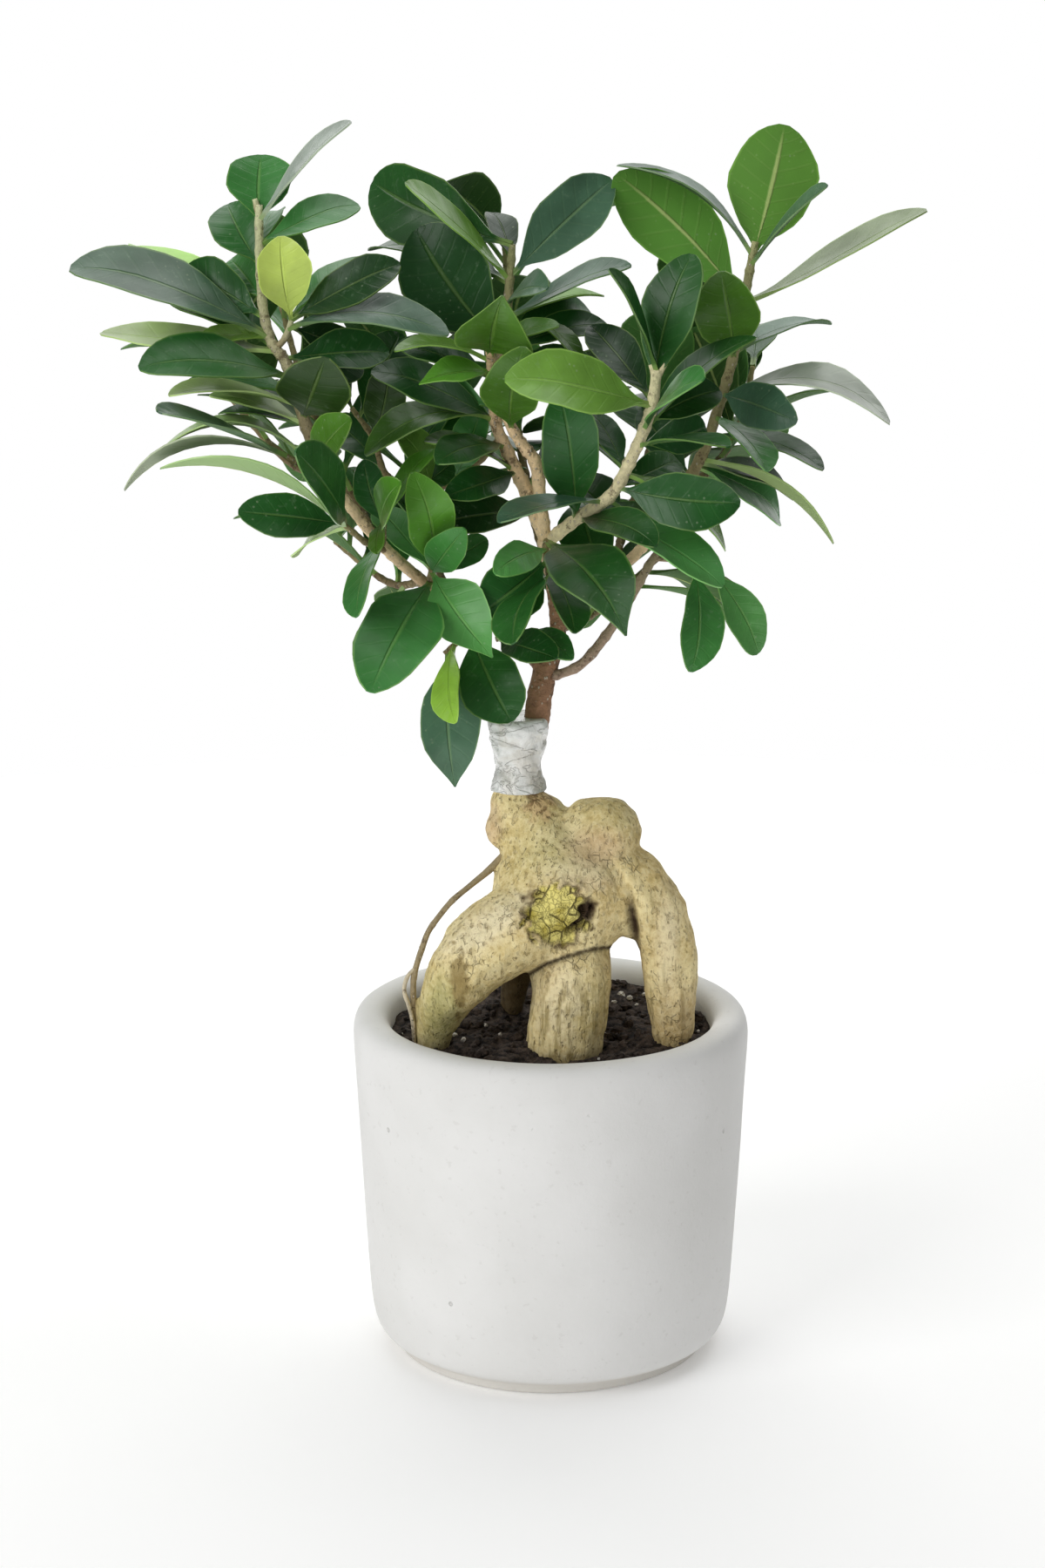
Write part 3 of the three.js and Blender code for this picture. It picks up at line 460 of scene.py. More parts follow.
def root_finish():
    """Tan bark: pores, fine cracks, streaks down the legs, and what is painted on the mesh, painted
    shade in the hollows and painted highlights on the legs and body among it.
    """
    f = Finish("ginseng_bark", Specular_IOR_Level=0.35)
    where = f.place()
    patches = f.noise(48, 5, 0.62)
    grain = f.noise(480, 5, 0.7)
    streaks = f.noise(300, 4, 0.65, where=f.place((1, 1, 0.10)))
    leg = f.painted("leg")
    scar = f.painted("scar")
    edge = f.painted("scar_edge")
    # painted shade: the mask that darkens the hollows, creases and back legs to near black brown
    shade = f.painted("painted_shade")
    warped = f.node("ShaderNodeVectorMath", {"operation": "ADD"}, {
        0: where, 1: f.node("ShaderNodeVectorMath", {"operation": "SCALE"}, {
            0: f.node("ShaderNodeTexNoise", None, {"Vector": where, "Scale": 220}, "Color"),
            "Scale": 0.0035})})
    crack = f.cells(300, "DISTANCE_TO_EDGE", warped).step(0.05, 0.0)
    crack = crack * f.noise(65, 3, 0.6).step(0.50, 0.62) * f.noise(170, 2).step(0.46, 0.60)
    fissures = f.cells(330, "F1", f.place((1, 1, 0.35))).step(0.14, 0.06)
    pores = f.cells(640, "F1", f.place((1, 1, 0.6))).step(0.20, 0.10)
    pores = pores * f.noise(95, 2).step(0.45, 0.62)
    scar_cracks = f.cells(185, "DISTANCE_TO_EDGE", warped).step(0.075, 0.0)
    scar_cracks = scar_cracks * f.noise(120, 2).step(0.38, 0.54)
    scar_cracks = scar_cracks + f.cells(460, "DISTANCE_TO_EDGE", warped).step(0.06, 0.0) * 0.2
    strokes = f.noise(560, 3, 0.6, 0.3, f.place((1, 1, 0.45))).step(0.56, 0.68)
    olive = f.noise(26, 3).step(0.46, 0.66)

    bark = f.mix(patches.step(0.32, 0.68), (0.72, 0.54, 0.215), (0.98, 0.83, 0.44))
    bark = f.mix(olive * 0.40, bark, (0.56, 0.48, 0.19))
    # Painted highlight: the pale mask lightens the lit tops of the legs and the body towards cream
    bark = f.mix(f.painted("pale") * (0.35 + patches * 0.7), bark, (1.0, 0.89, 0.62))
    bark = f.mix(grain.step(0.42, 0.68) * 0.55, bark, (0.99, 0.87, 0.52))
    bark = f.mix(grain.step(0.50, 0.30) * 0.60, bark, (0.46, 0.33, 0.12))
    bark = f.mix(streaks.step(0.50, 0.66) * (0.25 + leg * 0.5), bark, (0.36, 0.275, 0.10))
    bark = f.mix(strokes * (1 - scar) * 0.28, bark, (0.33, 0.22, 0.08))
    fibres = f.noise(420, 4, 0.7, 0.6, f.place((1, 1, 0.22))).step(0.40, 0.58)
    for name, share, texture, dark, light in (
            ("mossy", 0.6, grain, (0.30, 0.32, 0.09), (0.60, 0.58, 0.26)),
            ("rosy", 0.5, grain, (0.48, 0.28, 0.16), (0.86, 0.62, 0.41)),
            ("stain", 0.8, grain, (0.20, 0.13, 0.03), (0.38, 0.27, 0.09)),
            ("split", 0.8, fibres, (0.20, 0.085, 0.025), (0.80, 0.56, 0.28))):
        bark = f.mix(f.painted(name) * share, bark, f.mix(texture, dark, light))
    flesh = f.mix(f.noise(150, 4, 0.6).step(0.35, 0.62), (0.46, 0.37, 0.055), (0.95, 0.84, 0.27))
    flesh = f.mix(scar_cracks * 0.85, flesh, (0.10, 0.065, 0.012))
    bark = f.mix(scar, bark, flesh)
    bark = f.mix(edge * f.noise(260, 3).step(0.40, 0.58) * 0.85, bark, (0.11, 0.06, 0.02))
    bark = f.mix(crack * (1 - scar) * 0.4, bark, (0.15, 0.10, 0.04))
    bark = f.mix(fissures * leg * 0.55, bark, (0.20, 0.145, 0.06))
    bark = f.mix(pores * (1 - scar) * 0.5, bark, (0.17, 0.115, 0.05))
    # Painted shade: near black brown in the crater, the slit at the fork, the crease under the left
    # leg, on the back legs and low by the soil
    bark = f.mix(shade, bark, (0.045, 0.024, 0.010))
    f.relief(grain * 0.6 + streaks * (0.2 + leg * 0.6) - crack * (1 - scar) * 0.5 - pores * 0.5
             - strokes * 0.5 - fissures * leg * 0.5 - scar_cracks * scar * 1.5, 0.0010)
    return f.feed(Base_Color=bark, Roughness=0.52 + grain * 0.3)


def film_finish():
    """Milky film: folds whose crests carry a painted highlight and whose creases carry painted
    shade, the stump's brown showing through where it is thin.
    """
    f = Finish("graft_film", Coat_Roughness=0.1, Specular_IOR_Level=0.5)
    folds = f.noise(170, 4, 0.6, 1.5, f.place((1, 1, 0.7)))
    wraps = f.noise(120, 3, 0.6, 0.5, f.place((0.35, 0.35, 3.0)))
    creases = abs(f.noise(75, 3, 0.55, 0.8, f.place((1, 1, 2.4))) - 0.5).step(0.022, 0.0)
    thin = f.noise(75, 3, 0.5, 0.6).step(0.50, 0.66)
    # painted highlight: the raised fold crests are painted lighter
    color = f.mix(folds.step(0.3, 0.62), (0.86, 0.87, 0.84), (0.97, 0.98, 0.96))
    color = f.mix(wraps.step(0.58, 0.70) * 0.15, color, (0.52, 0.52, 0.47))
    color = f.mix(thin * 0.28, color, (0.56, 0.47, 0.33))
    # painted shade: the crease valleys are painted a darker grey brown
    color = f.mix(creases * 0.14, color, (0.50, 0.45, 0.36))
    f.relief(folds * 0.7 + wraps * 0.3 - creases * 0.3, 0.0010)
    return f.feed(Base_Color=color, Roughness=0.14 + folds * 0.22,
                  Coat_Weight=folds.step(0.3, 0.6) * 0.9)


def twig_finish():
    """Brown to tan bark by the painted tone, with pale pores; the rings are in the shape of the
    limbs.
    """
    f = Finish("twig_bark", Specular_IOR_Level=0.3)
    tone = f.painted("tone", "Color")
    grain = f.noise(520, 4, 0.65)
    patches = f.noise(170, 3, 0.6)
    spots = f.cells(620, "F1", f.place((1, 1, 0.7))).step(0.30, 0.16)
    spots = spots * f.noise(210, 1).step(0.44, 0.56)
    color = f.scaled(tone, 0.35 + grain * 0.75 + patches * 0.6)
    color = f.mix(f.noise(240, 4, 0.75).step(0.54, 0.66) * 0.7, color, (0.080, 0.045, 0.022))
    color = f.mix(spots * 0.75, color, (0.70, 0.62, 0.50))
    f.relief(grain + patches + spots * 0.4, 0.0009)
    return f.feed(Base_Color=color, Roughness=0.6 + grain * 0.25)


def leaf_finish(name, under):
    """A leaf's face or back by its painted tone: a paler midrib, rim and stalk, faint side veins
    and ripples, pale specks, and a gloss on the face alone."""
    f = Finish(name, Coat_Roughness=0.24, Specular_IOR_Level=0.25 if under else 0.45)
    uv = f.node("ShaderNodeUVMap", {"uv_map": "UVMap"})
    across, along = f.split(uv, "X"), f.split(uv, "Y")
    side = abs(across - 0.5) * 2
    tone = f.painted("tone", "Color")
    mottle = f.noise(85, 4, 0.55)
    blotches = f.noise(38, 2)
    grit = f.noise(520, 3, 0.6)
    rib = side.step(0.075, 0.02) * along.step(1.0, 0.62)
    rim = side.step(0.93, 0.985)
    veins = (along * 74 - side * 8.5).wave().step(0.80, 1.0) * side.step(0.95, 0.75)
    ripples = (along * 46 - side * 6).wave() * mottle.step(0.30, 0.70)
    specks = f.cells(330).step(0.16, 0.09) * f.noise(40, 1).step(0.50, 0.60)
    paler = f.mix(0.45, f.scaled(tone, 1.9), (0.34, 0.46, 0.13))
    if under:
        color = f.mix(0.22, f.scaled(tone, 0.8 + mottle * 0.4), (0.22, 0.34, 0.10))
        speckle = f.cells(430).step(0.22, 0.10) * mottle.step(0.42, 0.60)
        color = f.mix(speckle * 0.30, color, (0.36, 0.50, 0.20))
        color = f.mix(veins * 0.055 + rib * 0.85, color, (0.46, 0.58, 0.20))
    else:
        color = f.scaled(tone, 0.20 + mottle * 0.72 + blotches * 0.84)
        color = f.mix(veins * 0.035, color, paler)
        color = f.mix(rib * 0.40, color, paler)
        # greyish flecks on the face: partly dust, partly painted sheen
        dust_and_sheen = grit.step(0.56, 0.72) * mottle.step(0.40, 0.62)
        color = f.mix(dust_and_sheen * 0.16, color, (0.30, 0.42, 0.28))
    color = f.mix(specks * 0.26, color, (0.42, 0.50, 0.34))
    color = f.mix(rim * 0.7, color, paler)
    color = f.mix(along.step(0.12, 0.04) * 0.7, color, (0.30, 0.44, 0.12))
    f.relief(blotches * 1.2 - rib * (-0.8 if under else 0.8) + veins * (0.15 if under else -0.08)
             + ripples * (0.04 if under else 0.14), 0.0005)
    if under:
        return f.feed(Base_Color=color, Roughness=0.62 + mottle * 0.15)
    return f.feed(Base_Color=color, Roughness=0.24 + blotches * 0.18 + grit * 0.05,
                  Coat_Weight=mottle.step(0.35, 0.7) * 0.24)


def floor_finish():
    f = Finish("studio_floor", Specular_IOR_Level=0.1, Roughness=0.9,
               Emission_Color=(1, 1, 1, 1), Emission_Strength=0.14)
    return f.feed(Base_Color=f.mix(f.noise(3, 2), (0.93, 0.93, 0.925), (0.95, 0.95, 0.945)))


CEMENT = cement_finish()
PEAT = peat_finish()
PERLITE = perlite_finish()
GINSENG = root_finish()
FILM = film_finish()
TWIG = twig_finish()
LEAF_FACE = leaf_finish("leaf_face", under=False)
LEAF_BACK = leaf_finish("leaf_back", under=True)


# ---------------------------------------------------------------------------------------------
# Handling pieces
# ---------------------------------------------------------------------------------------------
def take(*objects):
    bpy.ops.object.select_all(action="DESELECT")
    for piece in objects:
        piece.select_set(True)
    bpy.context.view_layer.objects.active = objects[0]


def editing(piece):
    take(piece)
    bpy.ops.object.mode_set(mode="EDIT")
    bpy.ops.mesh.select_mode(type="VERT")
    bpy.ops.mesh.select_all(action="DESELECT")
    return bmesh.from_edit_mesh(piece.data)


def edited(piece):
    bpy.ops.object.mode_set(mode="OBJECT")
    return piece


def pick(mesh, piece, test):
    """In edit mode, selects the corners whose place passes the test, and nothing else."""
    bpy.ops.mesh.select_all(action="DESELECT")
    for corner in mesh.verts:
        corner.select_set(test(corner.co))
    mesh.select_flush_mode()
    bmesh.update_edit_mesh(piece.data)


def modify(piece, kind, **settings):
    """Adds a modifier and applies it."""
    take(piece)
    added = piece.modifiers.new(kind.lower(), kind)
    for setting, value in settings.items():
        setattr(added, setting, value)
    bpy.ops.object.modifier_apply(modifier=added.name)


def lumps(piece, size, height, group=""):
    """Displaces a piece along its normals by soft lumps of this size."""
    clouds = bpy.data.textures.new(f"{piece.name}_lumps", "CLOUDS")
    clouds.noise_scale = size
    clouds.noise_depth = 2
    modify(piece, "DISPLACE", texture=clouds, texture_coords="LOCAL", strength=height,
           mid_level=0.5, vertex_group=group)


def places(piece):
    co = np.empty(len(piece.data.vertices) * 3, np.float32)
    piece.data.vertices.foreach_get("co", co)
    return co.reshape(-1, 3)


def put(piece, co):
    piece.data.vertices.foreach_set("co", co.astype(np.float32).ravel())
    piece.data.update()


def paint(piece, name, values):
    """Paints a number or a colour on every corner of the mesh."""
    values = np.asarray(values, np.float32)
    if values.ndim == 1:
        layer = piece.data.attributes.new(name, "FLOAT", "POINT")
        layer.data.foreach_set("value", values)
    else:
        layer = piece.data.attributes.new(name, "FLOAT_COLOR", "POINT")
        layer.data.foreach_set("color", np.column_stack([values, np.ones(len(values))]).ravel())


def joined(name, parts):
    take(*parts)
    if len(parts) > 1:
        bpy.ops.object.join()
    whole = bpy.context.object
    whole.name = whole.data.name = name
    return whole


def smooth(piece, angle=None):
    """Smooth shading, all over or up to an angle between faces."""
    take(piece)
    if angle is None:
        bpy.ops.object.shade_smooth()
    else:
        bpy.ops.object.shade_smooth_by_angle(angle=math.radians(angle))


def finished(piece, finish, node):
    """A finished piece takes its finish, rides on the one body and stands for its solid."""
    if finish is not None:
        piece.data.materials.clear()
        piece.data.materials.append(finish)
    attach(piece, "root")
    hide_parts(node)


def lathe(name, profile, sides):
    """A ring that is drawn out, wider and narrower, through the radii and heights of a profile."""
    (radius, height), *rest = profile
    bpy.ops.object.select_all(action="DESELECT")
    bpy.ops.mesh.primitive_circle_add(vertices=sides, radius=radius * MM, fill_type="NGON",
                                      location=(0, 0, 0))
    piece = bpy.context.object
    piece.name = piece.data.name = name
    bpy.ops.object.mode_set(mode="EDIT")
    bpy.ops.transform.translate(value=(0, 0, height * MM))
    for wider, higher in rest:
        bpy.ops.mesh.extrude_region_move(
            TRANSFORM_OT_translate={"value": (0, 0, (higher - height) * MM)})
        bpy.ops.transform.resize(value=(wider / radius, wider / radius, 1),
                                 center_override=(0, 0, higher * MM))
        radius, height = wider, higher
    bpy.ops.mesh.select_all(action="SELECT")
    bpy.ops.mesh.normals_make_consistent(inside=False)
    bpy.ops.object.mode_set(mode="OBJECT")
    return piece


LIMB_STEP = 1.5
LIMB_BEVEL = 2
FEWEST_STEPS = 6
MERGE_REACH = 1e-6


def tube(name, route, knots, knot_rise, wobble, seed):
    """A limb of round section along a route, with a low ring at every bud scar."""
    count = max(FEWEST_STEPS, int(route.length() / LIMB_STEP))
    bpy.ops.object.select_all(action="DESELECT")
    bpy.ops.curve.primitive_bezier_curve_add(location=(0, 0, 0))
    limb = bpy.context.object
    limb.name = name
    spline = limb.data.splines[0]
    spline.type = "POLY"
    spline.points.add(count + 1 - len(spline.points))
    for k, point in enumerate(spline.points):
        share = k / count
        place = route.at(share)
        run = share * route.length()
        beat = (run + 2.3 * chance(seed)) % knots
        ring = math.exp(-(min(beat, knots - beat) / 0.9) ** 2)
        place = place + Vector(noise.noise_vector(place * 0.09 + Vector((seed, 0, 0)))) * wobble
        point.co = (*(place * MM), 1)
        point.radius = route.thickness(share) / 2 * (1 + knot_rise * ring
                                                     + 0.08 * noise.noise(place * 0.35))
    limb.data.dimensions = "3D"
    limb.data.bevel_depth = MM
    limb.data.bevel_resolution = LIMB_BEVEL
    limb.data.use_fill_caps = True
    bpy.ops.object.convert(target="MESH")
    made = bpy.context.object
    editing(made)
    bpy.ops.mesh.select_all(action="SELECT")
    bpy.ops.mesh.remove_doubles(threshold=MERGE_REACH)
    bpy.ops.mesh.normals_make_consistent(inside=False)
    edited(made)
    smooth(made)
    return made


def copied(node, name):
    """A merged copy of a solid, to be worked on."""
    take(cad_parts[node])
    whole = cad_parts[node].copy()
    whole.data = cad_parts[node].data.copy()
    whole.name = whole.data.name = name
    whole.parent = None
    for key in list(whole.keys()):
        del whole[key]
    bpy.context.collection.objects.link(whole)
    editing(whole)
    bpy.ops.mesh.select_all(action="SELECT")
    bpy.ops.mesh.remove_doubles(threshold=MERGE_REACH)
    return edited(whole)


def front(co):
    """Where the front view shows each corner, in millimetres."""
    co = co / MM
    reach = 1 - co[:, 1] / EYE.y
    return EYE.x + (co[:, 0] - EYE.x) / reach, EYE.z + (co[:, 2] - EYE.z) / reach


def soft_step(value, low, high):
    share = np.clip((value - low) / (high - low), 0, 1)
    return share * share * (3 - 2 * share)


def blot(co, x, z, rx, rz, turn=0.0, soft=0.35, ragged=0.0, facing=0.0):
    """1 inside an oval of the front view, 0 outside it and behind the depth facing, in metres,
    with a soft or ragged edge."""
    fx, fz = front(co)
    c, s = math.cos(math.radians(turn)), math.sin(math.radians(turn))
    u = ((fx - x) * c + (fz - z) * s) / rx
    v = (-(fx - x) * s + (fz - z) * c) / rz
    far = np.hypot(u, v)
    if ragged:
        far = far + ragged * np.array([noise.noise(Vector((a, b, 3.0))) for a, b in
                                       zip(fx * 0.35, fz * 0.35)])
    mask = soft_step(far, 1 + soft, 1 - soft)
    return mask * (co[:, 1] < facing)


# ---------------------------------------------------------------------------------------------
# Pot
# ---------------------------------------------------------------------------------------------
SOIL_LEVEL = 115
POT_PROFILE = [
    (30, 0.4), (50, 0.4), (54.4, 0), (55.6, 0.5), (56, 1.6), (56.1, 3.4), (56.8, 4.3), (59.4, 5.2),
    (61.4, 6.8), (62.9, 9.2), (63.9, 13), (64.8, 20), (66.2, 45), (67.9, 75), (69.4, 103),
    (70.05, 114), (69.9, 118), (69.1, 120.9), (67.4, 122.5), (65, 123.1), (62, 123.05),
    (59.8, 122.3), (57.9, 120.6), (57, 118.2), (56.8, 114), (56.6, 108), (52, 24), (45, 14),
    (20, 14),
]
pot = lathe("cement_pot", POT_PROFILE, 96)
modify(pot, "SUBSURF", levels=1, render_levels=1)
lumps(pot, 0.045, 0.0005)
smooth(pot)
finished(pot, CEMENT, "pot")


# ---------------------------------------------------------------------------------------------
# Soil, its crumbs and the perlite
# ---------------------------------------------------------------------------------------------
SOIL_RADIUS = 56.6
SOIL_RINGS = 44
BACK_RISE = 0.055


def soil_height(x, y):
    """The height of the lumpy top of the soil, in millimetres."""
    rolling = noise.noise(Vector((x * 0.045, y * 0.045, 4.0))) * 2.2
    crumbly = noise.noise(Vector((x * 0.19, y * 0.19, 9.0))) * 1.1
    sunken = -1.6 * max(0.0, 1 - (SOIL_RADIUS - math.hypot(x, y)) / 5)
    return SOIL_LEVEL - 0.4 + rolling + crumbly + sunken * 0.4 + max(0.0, y) * BACK_RISE


def on_soil(x, z):
    """Where the soil is, that the front view shows at x and z."""
    y = 0.0
    for _ in range(6):
        place = seen(x, z, y)
        y = ((soil_height(place.x, y) - EYE.z) / (z - EYE.z) - 1) * -EYE.y
    return seen(x, z, y)


soil_profile = [(20, 14.4), (44.6, 14.4), (51.4, 24.4), (56.2, 108), (SOIL_RADIUS, 113.2)]
soil_profile += [(SOIL_RADIUS * (1 - k / SOIL_RINGS) + 0.3, SOIL_LEVEL) for k in range(SOIL_RINGS)]
soil = lathe("peat_soil", soil_profile, 128)
co = places(soil)
top = co[:, 2] > (SOIL_LEVEL - 0.5) * MM
co[top, 2] = [soil_height(x / MM, y / MM) * MM for x, y in co[top, :2]]
put(soil, co)
top_group = soil.vertex_groups.new(name="top")
top_group.add([int(k) for k in np.flatnonzero(top)], 1.0, "REPLACE")
lumps(soil, 0.007, 0.0034, group="top")
lumps(soil, 0.0022, 0.0020, group="top")
smooth(soil)
finished(soil, PEAT, "soil")


def pebble(name, seed, squash):
    """A small lump with uneven faces."""
    draw = Random(seed)
    bpy.ops.object.select_all(action="DESELECT")
    bpy.ops.mesh.primitive_ico_sphere_add(subdivisions=2, radius=1, location=(0, 0, 0))
    lump = bpy.context.object
    lump.name = name
    editing(lump)
    bpy.ops.mesh.select_all(action="SELECT")
    bpy.ops.transform.vertex_random(offset=0.22, uniform=1.0, seed=seed)
    bpy.ops.transform.resize(value=(1, draw.uniform(0.65, 0.9), squash))
    edited(lump)
    modify(lump, "DECIMATE", ratio=0.45)
    return lump


def strewn(name, masters, spots, draw, finish):
    """Copies of the master lumps at each spot of (x, y, z, size), turned by chance."""
    lumps_made = []
    for k, (x, y, z, size) in enumerate(spots):
        lump = masters[k % len(masters)].copy()
        lump.data = lump.data.copy()
        bpy.context.collection.objects.link(lump)
        corners = places(lump)
        a, b = draw.uniform(0, 2 * math.pi), draw.uniform(-0.6, 0.6)
        turn = np.array([[math.cos(a), -math.sin(a), 0], [math.sin(a), math.cos(a), 0], [0, 0, 1]])
        tilt = np.array([[1, 0, 0], [0, math.cos(b), -math.sin(b)], [0, math.sin(b), math.cos(b)]])
        put(lump, (corners @ (turn @ tilt).T * size + (x, y, z)) * MM)
        lumps_made.append(lump)
    for master in masters:
        bpy.data.objects.remove(master)
    finished(joined(name, lumps_made), finish, "soil")


CRUMBS = 620
PERLITE_GRAINS = 30
draw = Random(41)
spots = []
while len(spots) < CRUMBS:
    angle, far = draw.uniform(0, 2 * math.pi), (SOIL_RADIUS - 1.6) * math.sqrt(draw.random())
    x, y = far * math.cos(angle), far * math.sin(angle)
    size = 0.8 + 2.4 * draw.random() ** 3
    spots.append((x, y, soil_height(x, y) + size * draw.uniform(-0.1, 0.4), size))
strewn("peat_crumbs", [pebble(f"crumb_{k}", 5 + k, 0.7) for k in range(4)], spots, draw, PEAT)

# x and z in the front view, and the size of each grain that it shows
PERLITE_SEEN = [
    (-34, 111.5, 1.5), (-31, 110.4, 1.2), (-36.3, 112.6, 0.8), (25, 127, 1.5), (28, 126, 1.2),
    (22.5, 124.5, 1.0), (30.5, 123.5, 0.8), (33, 127.5, 0.9), (-18, 112.5, 0.9), (-23, 116, 0.8),
]
spots = []
for x, z, size in PERLITE_SEEN:
    place = on_soil(x, z)
    spots.append((*place[:2], place.z + size * 0.45, size))
while len(spots) < PERLITE_GRAINS:
    angle, far = draw.uniform(0, 2 * math.pi), (SOIL_RADIUS - 2) * math.sqrt(draw.random())
    x, y = far * math.cos(angle), far * math.sin(angle)
    size = draw.uniform(0.3, 0.7)
    spots.append((x, y, soil_height(x, y) + size * 0.5, size))
grains = [pebble(f"grain_{k}", 15 + k, 0.85) for k in range(3)]
strewn("perlite_grains", grains, spots, draw, PERLITE)


# ---------------------------------------------------------------------------------------------
# Rootstock
# ---------------------------------------------------------------------------------------------
def near_line(co, line, reach):
    """1 on a line of the front view, 0 further off than the reach."""
    fx, fz = front(co)
    nearest = np.full(len(co), 1e9)
    for (x0, z0), (x1, z1) in zip(line, line[1:]):
        dx, dz = x1 - x0, z1 - z0
        t = np.clip(((fx - x0) * dx + (fz - z0) * dz) / (dx * dx + dz * dz), 0, 1)
        nearest = np.minimum(nearest, np.hypot(fx - x0 - t * dx, fz - z0 - t * dz))
    return soft_step(nearest, reach, reach * 0.3) * (co[:, 1] < 0)


# Lines of the front view: where the middle leg goes in under the left one, and where the right
# leg leaves the shoulder
CREASE = [(-13, 132), (-9, 134.5), (-2, 139), (6.3, 142.1), (15, 144.6), (24.5, 145.6), (27, 147)]
SHOULDER = [(21, 176), (25.5, 168), (28.2, 160), (28.8, 151)]
ROOT_VOXEL = 0.85
root = copied("rootstock", "ginseng_root")
modify(root, "REMESH", mode="VOXEL", voxel_size=ROOT_VOXEL * MM)
modify(root, "SMOOTH", factor=0.5, iterations=26)
lumps(root, 0.020, 0.0030)
lumps(root, 0.0065, 0.0010)
co = places(root)
normals = np.empty(len(co) * 3, np.float32)
root.data.vertices.foreach_get("normal", normals)
normals = normals.reshape(-1, 3)
fx, fz = front(co)
crease_z = np.interp(fx, [x for x, _ in CREASE], [z for _, z in CREASE])
below = crease_z - fz
on_leg = soft_step(fx, -15, -9) * soft_step(fx, 29, 24) * (co[:, 1] < 0)
step_back = np.where(below > 0, np.exp(-below / 5) * 2.4, -np.exp(below / 3.5) * 1.3)
co[:, 1] += step_back * on_leg * (np.abs(below) < 22) * MM
shoulder = near_line(co, SHOULDER, 3.2)
co += normals * (-0.9 * shoulder)[:, None] * MM
scar = blot(co, 2.6, 157.2, 11.6, 10.8, soft=0.06, ragged=0.42, facing=-0.018)
scar_wide = blot(co, 2.6, 157.2, 13.0, 12.2, soft=0.12, ragged=0.42, facing=-0.018)
crater = np.maximum(
    blot(co, 13.4, 158, 2.9, 5.2, turn=-12, soft=0.3, ragged=0.3, facing=-0.012),
    blot(co, 9.8, 152.4, 4.6, 1.3, turn=38, soft=0.5, ragged=0.4, facing=-0.012))
stain = blot(co, -32.3, 132.5, 3.1, 10.5, turn=4, soft=0.15, ragged=0.8)
fork = blot(co, 28.9, 153.5, 1.7, 10.0, turn=6, soft=0.8, ragged=0.2)
co += normals * ((scar_wide - scar) * 0.8 - scar * 1.5 - crater * 3.0 - stain * 0.35
                 - fork * 1.5)[:, None] * MM
knobbly = np.array([noise.noise(Vector(p) * 330) for p in co]) * scar
co += normals * (knobbly * 0.9)[:, None] * MM
put(root, co)
height = co[:, 2] / MM
paint(root, "scar", scar)
paint(root, "scar_edge", np.clip((scar_wide - scar) * 1.2, 0, 1))
paint(root, "stain", stain)
paint(root, "leg", soft_step(height, 148, 134))
paint(root, "mossy", np.maximum(
    blot(co, -39, 121, 7, 14, soft=0.6), blot(co, 6, 181, 14, 7, soft=0.9) * 0.35))
paint(root, "rosy", np.maximum.reduce([
    blot(co, 15.5, 181.5, 10, 6.5, soft=0.6), blot(co, -22, 190, 4.5, 9, soft=0.5, facing=0.02),
    blot(co, 45, 119, 9, 12, soft=0.7) * 0.45, blot(co, 12, 168.5, 10, 3, soft=0.6) * 0.35]))
paint(root, "split", blot(co, -4.0, 198.5, 5.0, 7, soft=0.4, ragged=0.6))
# Painted highlight: cream patches where the light falls on the tops of the legs and on the body
paint(root, "pale", np.maximum.reduce([
    blot(co, -22, 153.5, 17, 6.5, turn=33, soft=0.6, ragged=0.4),
    blot(co, 41, 148, 4, 17, soft=0.7) * 0.8,
    blot(co, 3, 126, 8, 14, soft=0.6, ragged=0.5) * 0.7,
    blot(co, 6, 187, 7, 6, soft=0.7) * 0.4,
    blot(co, 9, 172, 11, 6, soft=0.7, ragged=0.4) * 0.7,
    blot(co, -10, 160, 5, 6, soft=0.5, ragged=0.5) * 0.9]))
# Painted shade on the back legs where they face the front, seen between the front legs
shaded_back = (soft_step(co[:, 1] / MM, 4, 12) * soft_step(height, 152, 140)
               * soft_step(normals[:, 1], 0.4, -0.1))
# Painted shade, not the bark's colour: the crater, the slit at the fork, the crease under the left
# leg, the shoulder groove, the back legs and the foot by the soil are painted darker
paint(root, "painted_shade", np.maximum.reduce([
    crater, fork, near_line(co, CREASE[1:6], 1.2) * 0.85, near_line(co, SHOULDER, 1.0) * 0.2,
    shaded_back * 0.9, soft_step(height, 119, 114.5) * 0.35]))
smooth(root)
finished(root, GINSENG, "rootstock")

AERIAL_ROOT = [[-15, 180, -6, 3.4], [-26.5, 169, -11, 2.1], [-34.5, 162.5, -15, 2.1],
               [-41.3, 154, -17, 2.1], [-45.4, 145.5, -18, 2.1], [-48, 136, -18, 2.3],
               [-48.6, 127.5, -17, 2.2], [-48.4, 120, -16, 2.1], [-47.5, 108, -15, 2]]
LOOP_ROOT = [[-47.6, 138, -18.4, 1.2], [-50.6, 134.5, -19, 1.4], [-52, 129.5, -19, 1.5],
             [-50.4, 124, -18.4, 1.5], [-49, 117, -17.5, 1.5], [-48.6, 108, -17, 1.4]]
threads = [
    tube("aerial_thread", Route(AERIAL_ROOT), knots=11, knot_rise=0.12, wobble=0.5, seed=3),
    tube("loop_thread", Route(LOOP_ROOT), knots=9, knot_rise=0.1, wobble=0.3, seed=8),
]
for thread, tone in zip(threads, [(0.36, 0.29, 0.17), (0.66, 0.58, 0.42)]):
    paint(thread, "tone", np.tile(tone, (len(thread.data.vertices), 1)))
finished(joined("aerial_root", threads), TWIG, "rootstock")


